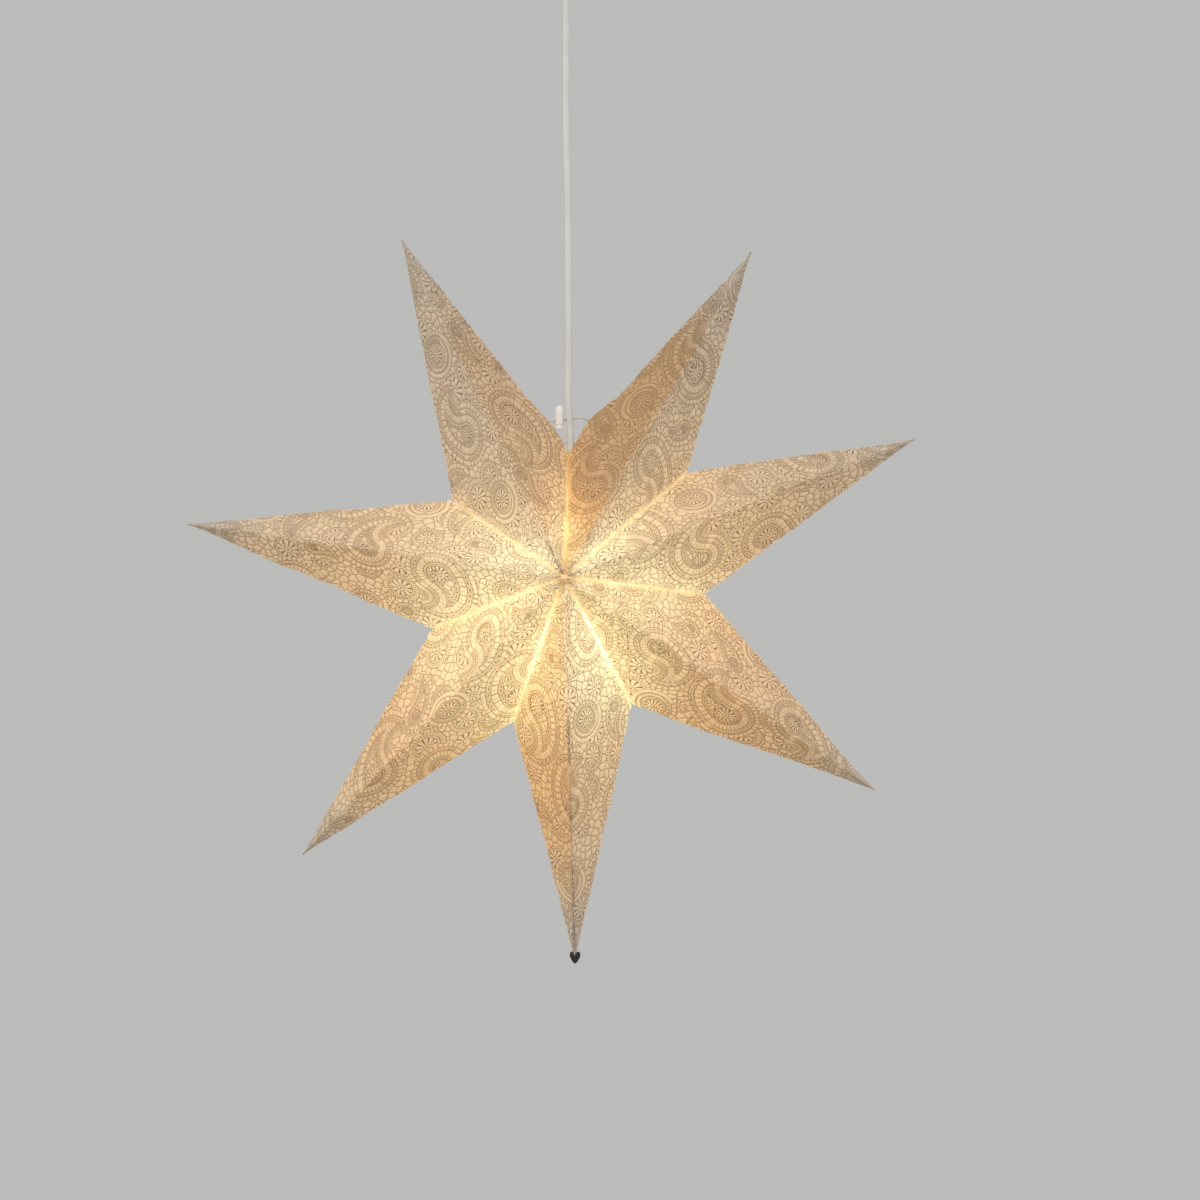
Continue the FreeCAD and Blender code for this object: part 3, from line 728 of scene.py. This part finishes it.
def makePaper():
    material, tree, shader = newMaterial("lacePaper")
    place, depth = attributeNode(tree, "sheetPlace", "Vector"), attributeNode(tree, "figureDepth", "Fac")
    run, heart = attributeNode(tree, "figureRun", "Fac"), attributeNode(tree, "figureHeart", "Vector")
    ink, gap, height = drawLace(place, depth, run, heart)
    clearness = attributeNode(tree, "drawnShare", "Fac")
    ink = times(ink, clearness)
    gap = times(gap, clearness)
    cloud = noise(place, 0.045, 3.0, 0.6)[0]
    fibre = noise(place, 1.6, 3.0, 0.7)[0]
    finish = paperFinish
    base = pickColour(ink, finish["cream"], finish["shade"])
    base = pickColour(gap, base, finish["gap"])
    # painted shadow along the glue seams and painted shade round the front apex darken the paper
    seam = attributeNode(tree, "seamShade", "Fac")
    base = pickColour(seam, base, finish["seam"])
    grey = slope(fibre, 0.3, 0.75, 0.9, 1.06)
    base = pickColour(1.0, base, grey, "MULTIPLY")
    # painted shade: the facets that get less daylight are painted warmer and darker, in colour and in glow
    paintedWarmShade = attributeNode(tree, "paintedWarmShade", "Fac")
    base = pickColour(paintedWarmShade, base, pickColour(1.0, base, finish["warm"], "MULTIPLY"))
    glow = attributeNode(tree, "lampGlow", "Color")
    glow = pickColour(paintedWarmShade, glow, pickColour(1.0, glow, finish["warm"], "MULTIPLY"))
    drawn = pickColour(ink, (1.0, 1.0, 1.0, 1.0), finish["lineGlow"])
    drawn = pickColour(gap, drawn, finish["gapGlow"])
    glow = pickColour(1.0, glow, drawn, "MULTIPLY")
    through = slope(cloud, 0.25, 0.75, 0.90, 1.1)
    through = times(through, slope(fibre, 0.2, 0.8, 0.93, 1.07))
    # less glow through the glue seams and the painted shade
    through = times(through, minus(1.0, seam))
    glow = pickColour(1.0, glow, through, "MULTIPLY")
    setInputs(shader, {"Base Color": base, "Roughness": finish["roughness"], "Emission Color": glow,
                       "Emission Strength": 1.0})
    bumped(shader, calc("MULTIPLY_ADD", fibre, 0.25, height), 0.45 * mm)
    return material


lacePaper = makePaper()
relief = makeRelief()


def foldWith(piece, index):  # rides with a point and is pressed flat as the point folds away
    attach(piece, bodyOfPoint[index])
    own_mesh(piece)


def halved(pair, columns):  # a value for each column: one up to the front ridge, the other after it
    return np.where(np.arange(columns) <= columns // 2, pair[0], pair[1])


def perFacet(pair, columns):  # the same, running from one value to the other beside the ridge
    blend = paper["facetBlend"]
    even = np.ones(2 * blend + 1) / (2 * blend + 1)
    return np.convolve(np.pad(halved(pair, columns), blend, mode="edge"), even, mode="valid")[None, :]


def seamShade(index, place, share):  # glue seams along the front ridge with painted shadow, and painted shade round the front apex
    tip, loop = pointCorners(index)
    fromRidge = np.linalg.norm(np.cross(place - tip, unitOf(loop[2] - tip)), axis=-1)
    fromRidge = np.where(place[..., 1] < 0, fromRidge, 99.0)  # none at the back
    radial = np.hypot(place[..., 0], place[..., 2])
    # painted shade round the front apex, in spots
    spots = 0.6 + 0.4 * np.sin(apexPaintedShade["spots"] * np.arctan2(place[..., 2], place[..., 0]))
    seam = apexPaintedShade["shade"] * np.exp(-(radial / apexPaintedShade["reach"]) ** 2) * spots * (place[..., 1] < 0)
    # glue seams, darkened with painted shadow under their edge
    for ridgeSeamAndShadow in ridgeSeamsAndShadow:
        if ridgeSeamAndShadow["point"] == index:
            ends = rising(share, ridgeSeamAndShadow["start"], 0.03) * smooth((ridgeSeamAndShadow["end"] - share) / 0.03 + 1)
            ragged = 0.8 + 0.2 * np.sin(share * 150) * np.sin(share * 67 + 1)
            line = np.exp(-(fromRidge / (ridgeSeamAndShadow["half"] * ragged)) ** 2)
            seam = np.maximum(seam, ridgeSeamAndShadow["shade"] * ends * ragged * line)
    return seam


def cutFrom(points, index, turned):  # each point is cut from another part of the printed sheet
    way = turned / 2 - math.radians(laceRepeat["cutTurn"] * index)
    x = points[..., 0] * math.cos(way) + points[..., 1] * math.sin(way)
    y = points[..., 1] * math.cos(way) - points[..., 0] * math.sin(way)
    stepX, stepY = laceRepeat["cutStep"]
    return np.stack([x + stepX * index, y + stepY * index], axis=-1).reshape(-1, 2)


def makePoint(index):
    place, flat, fold, normal, turned = sleeve(index, paper["around"], paper["along"])
    rows, columns = place.shape[:2]
    share = np.linspace(0, 1, rows)[:, None]
    place = waved(place, normal, fold, index)
    sink = paper["crease"] * np.exp(-(fold / paper["creaseHalf"]) ** 1.5)
    inward = -unitOf(place)
    place = place + inward * sink[:, :, None]
    # the glue lip behind each fold, where two points meet
    place[-1] = place[-1] + inward[-1] * paper["lip"]
    # inner side, with fewer steps
    inAround, inAlong = paper["innerAround"], paper["innerAlong"]
    inset = paper["thickness"] + paper["innerGap"]
    inPlace, inFlat, inFold, inNormal, _ = sleeve(index, inAround, inAlong, inset)
    inPlace = waved(inPlace, inNormal, inFold, index)
    folds = lampGlow["folds"]
    shine = halved((folds[index], folds[(index + 1) % 7]), columns)[None, :]
    facets = lampGlow["facets"][index]
    glow = glowAt(place, normal, fold, shine, perFacet(facets, columns))
    inGlow = glowAt(inPlace, inNormal, inFold, lampGlow["innerFold"], sum(facets) / 2, inner=True)
    sheet = np.concatenate([cutFrom(flat, index, turned), cutFrom(inFlat, index, turned)])
    depth, run, heart = traceFigures(sheet)
    vertices = np.concatenate([place3d(place), place3d(inPlace)])
    quads = gridFaces(rows, columns)
    inQuads = gridFaces(inAlong + 1, inAround + 1, rows * columns)[:, ::-1]
    probe = quads[5000]  # a face away from the edges shows which way all are turned
    a, b, c = vertices[probe[:3]]
    outward = np.dot(np.cross(b - a, c - a), normal.reshape(-1, 3)[probe[0]]) > 0
    name = "paperPoint%d" % (index + 1)
    mesh = meshFrom(name, vertices, np.concatenate([quads, inQuads]), flip=not outward)
    storeVector(mesh, "sheetPlace", np.column_stack([sheet, np.zeros(len(sheet))]))
    storeVector(mesh, "figureHeart", heart)
    storeNumber(mesh, "figureDepth", depth)
    storeNumber(mesh, "figureRun", run)
    radial = np.hypot(place[..., 0], place[..., 2])
    lift = paper["relief"] * mm * smooth(share / paper["reliefTip"]) * smooth(fold / paper["reliefFold"])
    drawn = 1 - lineFade["fold"] * np.exp(-(fold / lineFade["foldHalf"]) ** 2)
    drawn = drawn * (1 - lineFade["tip"] + lineFade["tip"] * smooth(share / lineFade["tipShare"]))
    perVertex = {
        # painted shade on the facets that get less daylight
        "paintedWarmShade": perFacet(facetPaintedShade[index], columns) * (1 - rising(radial, *paintedShadeEnd)),
        # glue seams with painted shadow, and painted shade round the front apex
        "seamShade": seamShade(index, place, share),
        "reliefHeight": lift,
        "drawnShare": drawn,
    }
    for attribute, values in perVertex.items():  # the inner side has none of them
        storeNumber(mesh, attribute, np.concatenate([values.ravel(), np.zeros(inFold.size)]))
    storeColour(mesh, "lampGlow", np.concatenate([glow.reshape(-1, 3), inGlow.reshape(-1, 3)]))
    piece = addPiece(name, mesh, lacePaper)
    modifier = piece.modifiers.new("laceRelief", "NODES")
    modifier.node_group = relief
    raised = bpy.data.meshes.new_from_object(piece.evaluated_get(bpy.context.evaluated_depsgraph_get()))
    piece.modifiers.clear()
    piece.data = raised
    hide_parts("paper_point_%d" % (index + 1))
    foldWith(piece, index)


for pointIndex in range(7):
    makePoint(pointIndex)
print("stage 2: seven paper points")


# the flat cord, from the clamp in the ceiling cup down into the lampholder
cord = {
    "route": [(0, 0, -40), (0, 0, -150), (0, 0, -190), (1.5, 0, -244), (2.1, 0, -372), (1.3, 0, -402),
              (3.1, 0, -419), (3.8, 0, -437), (4.0, 0, -502)],
    "width": 5.2,
    "thickness": 3.2,
    "bendFrom": -100,       # the cord bends between these heights as the pendant swings
    "bendTo": -185,
}


def routeLine(route):  # points on the smooth line of a route
    curve = bpy.data.curves.new("route", "CURVE")
    curve.dimensions = "3D"
    line = curve.splines.new("NURBS")
    line.points.add(len(route) - 1)
    for point, place in zip(line.points, route):
        point.co = (place[0] * mm, place[1] * mm, place[2] * mm, 1.0)
    line.order_u = 3
    line.use_endpoint_u = True
    line.resolution_u = 24
    holder = bpy.data.objects.new("route", curve)
    scene.collection.objects.link(holder)
    bpy.context.view_layer.update()
    mesh = bpy.data.meshes.new_from_object(holder)
    points = np.array([v.co for v in mesh.vertices])
    bpy.data.objects.remove(holder)
    return points


def flatOval(width, thickness, steps=28):  # two half rounds joined by flats
    radius = thickness / 2
    half = (width - thickness) / 2
    turns = np.linspace(0, 2 * np.pi, steps, endpoint=False)
    x = radius * np.cos(turns) + np.where(np.cos(turns) >= 0, half, -half)
    return np.stack([x, radius * np.sin(turns)], axis=1)


def makeCord():
    path = routeLine(cord["route"])
    section = flatOval(cord["width"], cord["thickness"]) * mm
    depthWay = np.array([0.0, 1.0, 0.0])
    sideWay = unitOf(np.cross(depthWay, np.gradient(path, axis=0)))
    rings = path[:, None, :] + section[None, :, :1] * sideWay[:, None, :] + section[None, :, 1:] * depthWay
    rings = np.concatenate([rings, rings[:, :1]], axis=1)
    mesh = meshFrom("flatCord", rings.reshape(-1, 3), gridFaces(len(path), rings.shape[1]))
    piece = addPiece("flatCord", mesh, cordSheath)
    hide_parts("cord_upper", "cord_lower")
    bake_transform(piece)


# the two strings that tie the open seam, each from its loose end through the lock to a knot in the paper
ties = {
    "diameter": 1.6,
    "turn": 3.4,            # length of one turn of the strands
    "step": 0.35,
    "fray": 2.5,            # length of the loose end over which the strands come apart
    "frayed": 1.6,
    "eyeletAlong": 24.0,    # eyelet's place from the open fold, along the point's edge and in from it
    "eyeletIn": 14.0,
    "knot": 2.2,
    "knotTurns": 3.5,
    "knotRadius": 1.3,
    "knotLay": 1.5,         # how far the winding runs along the knot
    "left": [(-0.8, -1.75, 106.0), (-1.0, -1.55, 115.0), (-0.3, -0.95, 124.5), (-10.3, -0.95, 124.5),
             (-14.2, 2.5, 124.0)],
    "right": [(-2.8, 1.45, 106.0), (-5.7, 1.25, 112.5), (-9.9, 0.95, 117.5), (-10.1, 0.95, 124.5),
              (-0.7, 0.95, 124.5), (1.5, 3.6, 124.9), (7.3, 3.9, 125.8), (14.3, 5.6, 127.5)],
}


def eyelet(tip, corner, other):  # hole in the back face by the open fold, and the way out of it
    back = np.array([0.0, star["halfDepth"], 0.0])
    edge = unitOf(tip - corner)
    onEdge = corner + edge * ties["eyeletAlong"]
    inward = back - onEdge
    inward = unitOf(inward - edge * (inward @ edge))
    normal = unitOf(np.cross(tip - back, corner - back))
    if normal @ (other - corner) > 0:
        normal = -normal
    return onEdge + inward * ties["eyeletIn"], normal


def waysAcross(path):  # two directions square to a path
    tangent = unitOf(np.gradient(path, axis=0))
    across = unitOf(np.cross(tangent, (0.31, 0.92, 0.23)))  # a way that no tie runs along
    return across, np.cross(tangent, across)


def tubeAlong(path, radius, sides=8):
    across, over = waysAcross(path)
    turns = np.linspace(0, 2 * np.pi, sides + 1)[None, :, None]
    rings = path[:, None] + radius * (np.cos(turns) * across[:, None] + np.sin(turns) * over[:, None])
    return rings.reshape(-1, 3), gridFaces(len(path), sides + 1)


def makeTie(name, route, point, side):
    tip, loop = pointCorners(point)
    corner, other = (loop[3], loop[1]) if side > 0 else (loop[1], loop[3])
    spot, normal = eyelet(tip, corner, other)
    points = [np.array(p) for p in route]
    points += [spot + normal * 3 * ties["diameter"], spot - normal * (paper["thickness"] + ties["knot"])]
    path = routeLine([p + np.array(star["centre"]) for p in points])
    length = np.concatenate([[0], np.cumsum(np.linalg.norm(np.diff(path, axis=0), axis=1))])
    fine = np.linspace(0, length[-1], int(length[-1] / (ties["step"] * mm)))
    path = np.stack([np.interp(fine, length, path[:, axis]) for axis in range(3)], axis=1)
    across, over = waysAcross(path)
    vertices, quads = [], []
    strand = ties["diameter"] * mm / 4
    for phase in (0.0, np.pi):
        turn = (2 * np.pi * fine / (ties["turn"] * mm) + phase)[:, None]
        fray = 1 + ties["frayed"] * np.clip(1 - fine / (ties["fray"] * mm), 0, 1)[:, None]
        offset = strand * 0.95 * fray * (np.cos(turn) * across + np.sin(turn) * over)
        found, faces = tubeAlong(path + offset, strand * 1.02)
        quads.append(faces + sum(len(v) for v in vertices))
        vertices.append(found)
    # the knot, a short tight winding of the string
    around = np.linspace(0, 2 * np.pi * ties["knotTurns"], 90)
    centre = points[-1] + np.array(star["centre"])
    lay = ties["knotLay"] * np.cos(around / (2 * ties["knotTurns"]))
    radius = ties["knotRadius"]
    winding = np.stack([radius * np.cos(around), lay, radius * np.sin(around)], axis=1)
    found, faces = tubeAlong((centre + winding) * mm, strand * 1.6)
    quads.append(faces + sum(len(v) for v in vertices))
    vertices.append(found)
    mesh = meshFrom(name, np.concatenate(vertices), np.concatenate(quads))
    piece = addPiece(name, mesh, cottonString)
    foldWith(piece, point)
    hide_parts("tie_left" if side > 0 else "tie_right")


def objectPlace(tree):
    return tree.nodes.new("ShaderNodeTexCoord").outputs["Object"]


def cloudy(cloud, edges, colour, share):  # a colour that is darker by a share in clouds or streaks
    dark = tuple(c * share for c in colour) + (1.0,)
    return pickColour(slope(cloud, *edges), colour + (1.0,), dark)


def makePlastic(name, colour, roughness, grain=0.05, grainScale=900.0):
    material, tree, shader = newMaterial(name)
    place = objectPlace(tree)
    speckle = noise(place, grainScale, 2.0)[0]
    drift = noise(place, 35.0, 2.0)[0]
    rough = slope(speckle, 0.3, 0.7, roughness - 0.05, roughness + 0.07)
    setInputs(shader, {"Base Color": cloudy(drift, (0.35, 0.65), colour, 0.93), "Roughness": rough})
    bumped(shader, speckle, grain * mm, 0.5)
    return material


cordSheath = makePlastic("cordSheath", (0.66, 0.65, 0.62), 0.42, 0.05, 700.0)
cottonString = makePlastic("cottonString", (0.74, 0.70, 0.62), 0.85, 0.08, 2500.0)
makeCord()
makeTie("tieLeft", ties["left"], 0, 1)
makeTie("tieRight", ties["right"], 1, -1)
print("stage 3: flat cord and ties")


# finishes of the small parts
def makeMetal(name, colour, roughness, streak=(400.0, 400.0, 20.0)):
    material, tree, shader = newMaterial(name)
    streaks = addNode("ShaderNodeMapping", {"Vector": objectPlace(tree), "Scale": streak})[0]
    brushed = noise(streaks, 3.0, 4.0, 0.6)[0]
    rough = slope(brushed, 0.25, 0.75, roughness, roughness + 0.18)
    brushedColour = cloudy(brushed, (0.3, 0.7), colour, 0.8)
    setInputs(shader, {"Base Color": brushedColour, "Roughness": rough, "Metallic": 1.0})
    bumped(shader, brushed, 0.02 * mm, 0.4)
    return material


def makeGlassGlobe():
    material, tree, shader = newMaterial("frostedGlobe")
    cloud = noise(objectPlace(tree), 60.0, 3.0)[0]
    warm = pickColour(slope(cloud, 0.3, 0.7), (1.0, 0.78, 0.42, 1.0), (1.0, 0.72, 0.34, 1.0))
    rough = slope(cloud, 0.3, 0.7, 0.3, 0.4)
    setInputs(shader, {"Base Color": (0.92, 0.90, 0.85, 1.0), "Roughness": rough, "Emission Color": warm,
                       "Emission Strength": 1.4})
    return material


def makeFilament():
    material, tree, shader = newMaterial("yellowFilament")
    beat = noise(objectPlace(tree), 500.0, 1.0)[0]
    warm = pickColour(slope(beat, 0.3, 0.7), (1.0, 0.62, 0.18, 1.0), (1.0, 0.72, 0.28, 1.0))
    setInputs(shader, {"Base Color": warm, "Roughness": 0.6, "Emission Color": warm,
                       "Emission Strength": 2.0})
    return material


# each finish, and the nodes that have it
nodesOfFinish = [
    (makePlastic("whitePlastic", (0.80, 0.79, 0.76), 0.36),
     ["terminal_block", "ceiling_cup", "cup_collar", "collar_nut", "collar_screw", "holder_cap",
      "holder_cord_screw", "holder_skirt"]),
    (makePlastic("lampWhite", (0.78, 0.77, 0.73), 0.3, 0.02), ["holder_core", "bulb_stem"]),
    (makePlastic("milkyNylon", (0.86, 0.85, 0.82), 0.3, 0.01), ["lock_barrel", "lock_plunger"]),
    (makePlastic("blackGlass", (0.02, 0.02, 0.02), 0.15, 0.01), ["bulb_insulator"]),
    (makePlastic("coreSheath", (0.10, 0.14, 0.36), 0.4), ["cord_cores"]),
    (makeMetal("zincSteel", (0.60, 0.61, 0.62), 0.34),
     ["ceiling_plate", "hanger_strap", "cord_clamp_bar", "cord_clamp_screws", "bulb_contact"]),
    (makeMetal("brass", (0.72, 0.55, 0.25), 0.3),
     ["terminal_screws", "holder_terminal_screws", "side_contact", "centre_contact", "bulb_screw_cap"]),
    (makeMetal("springSteel", (0.52, 0.52, 0.53), 0.28), ["lock_spring"]),
    (makeGlassGlobe(), ["bulb_glass"]),
    (makeFilament(), ["bulb_filaments"]),
    (cordSheath, ["cord_end"]),
]
for finish, nodes in nodesOfFinish:
    for node in nodes:
        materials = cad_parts[node].data.materials
        materials.clear()
        materials.append(finish)

# the black clip that pinches the lowest tip, two rounded cheeks with a cleft where the paper goes in
clip = {
    "middle": 7.1,      # from the star's centre to the right
    "low": -846.4,
    "width": 8.4,
    "height": 9.6,
    "depth": 4.6,
    "taper": 0.58,      # how far the lower edge rises to the sides, as a share of the height
    "cleft": 2.8,
    "cleftHalf": 0.26,  # half widths are shares of half the width
    "shoulder": 1.3,    # how far the top drops at the sides
    "pinch": 0.35,
    "pinchHalf": 0.2,
    "steps": 40,
}


def makeClip():
    side = np.linspace(-1, 1, clip["steps"] + 1)[None, :]
    rise = np.linspace(0, 1, clip["steps"] + 1)[:, None]
    foot = clip["low"] + clip["taper"] * clip["height"] * np.abs(side) ** 1.7
    cleft = clip["cleft"] * np.exp(-(side / clip["cleftHalf"]) ** 2)
    top = clip["low"] + clip["height"] - cleft - clip["shoulder"] * np.abs(side) ** 4
    z = foot + rise * (top - foot)
    x = clip["middle"] + clip["width"] / 2 * side + 0 * rise
    swell = np.sqrt(np.clip((1 - np.abs(side) ** 4) * (1 - np.abs(2 * rise - 1) ** 5), 0, 1))
    y = clip["depth"] / 2 * swell * (1 - clip["pinch"] * np.exp(-(side / clip["pinchHalf"]) ** 2) * rise)
    halves = [np.stack([x, sign * y, z], axis=-1).reshape(-1, 3) * mm for sign in (-1, 1)]
    count = clip["steps"] + 1
    faces = gridFaces(count, count)
    faces = np.concatenate([faces, faces[:, ::-1] + count * count])
    mesh = meshFrom("tipClip", np.concatenate(halves), faces)
    blackClip = makePlastic("blackClip", (0.012, 0.011, 0.011), 0.42, 0.03, 1200.0)
    piece = addPiece("tipClip", mesh, blackClip)
    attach(piece, "star_base")
    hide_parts("tip_clip")


makeClip()
print("stage 4: finishes of the small parts")


# floor, daylight and lamps
studio = {
    "floorLow": -2.3,      # height of the floor in metres, counted from the ceiling
    "floorReach": 3.4,
    "floorTones": ((0.49, 0.49, 0.48, 1.0), (0.53, 0.53, 0.52, 1.0)),
    "pale": (0.50, 0.50, 0.49, 1.0),
    "daylight": (0.42, 0.73),  # from below and from above
    "aim": (0.0, 0.0, -0.54),
    "lamps": [             # place, size, power, colour
        ((-1.6, -2.2, 0.9), 1.6, 34.0, (1.0, 0.97, 0.92)),
        ((2.2, -1.5, 0.1), 1.4, 14.0, (0.94, 0.97, 1.0)),
    ],
}


def makeWorld():
    world = bpy.data.worlds.new("paleStudio")
    scene.world = world
    world.use_nodes = True
    tree = world.node_tree
    tree.nodes.clear()
    rays = tree.nodes.new("ShaderNodeLightPath")
    light = tree.nodes.new("ShaderNodeBackground")
    up = split(tree.nodes.new("ShaderNodeTexCoord").outputs["Generated"])[2]
    below, above = studio["daylight"]
    setInputs(light, {"Color": (1.0, 1.0, 1.0, 1.0), "Strength": slope(up, -0.8, 0.8, below, above)})
    seen = tree.nodes.new("ShaderNodeBackground")
    setInputs(seen, {"Color": studio["pale"], "Strength": 1.0})
    mix = tree.nodes.new("ShaderNodeMixShader")
    output = tree.nodes.new("ShaderNodeOutputWorld")
    mirrored = most(rays.outputs["Is Glossy Ray"], rays.outputs["Is Transmission Ray"])
    looking = most(rays.outputs["Is Camera Ray"], mirrored)
    setInputs(mix, {0: looking, 1: light.outputs[0], 2: seen.outputs[0]})
    setInputs(output, {0: mix.outputs[0]})


def makeFloor():
    reach = studio["floorReach"]
    turns = np.linspace(0, 2 * np.pi, 96, endpoint=False)
    rim = [(reach * math.cos(t), reach * math.sin(t), studio["floorLow"]) for t in turns]
    mesh = bpy.data.meshes.new("floor")
    mesh.from_pydata(rim, [], [list(range(len(rim)))])
    floor = bpy.data.objects.new("floor", mesh)
    scene.collection.objects.link(floor)
    material, tree, shader = newMaterial("paleFloor")
    speckle = noise(objectPlace(tree), 30.0, 3.0)[0]
    setInputs(shader, {"Base Color": pickColour(speckle, *studio["floorTones"]), "Roughness": 0.9})
    mesh.materials.append(material)


def makeLamps():
    for number, (place, size, power, colour) in enumerate(studio["lamps"]):
        data = bpy.data.lights.new("softLamp%d" % number, "AREA")
        data.size = size
        data.energy = power
        data.color = colour
        lamp = bpy.data.objects.new("softLamp%d" % number, data)
        lamp.location = place
        way = Vector(studio["aim"]) - Vector(place)
        lamp.rotation_euler = way.to_track_quat("-Z", "Y").to_euler()
        scene.collection.objects.link(lamp)


makeWorld()
makeFloor()
makeLamps()
scene.view_settings.view_transform = "Standard"
print("stage 5: studio")
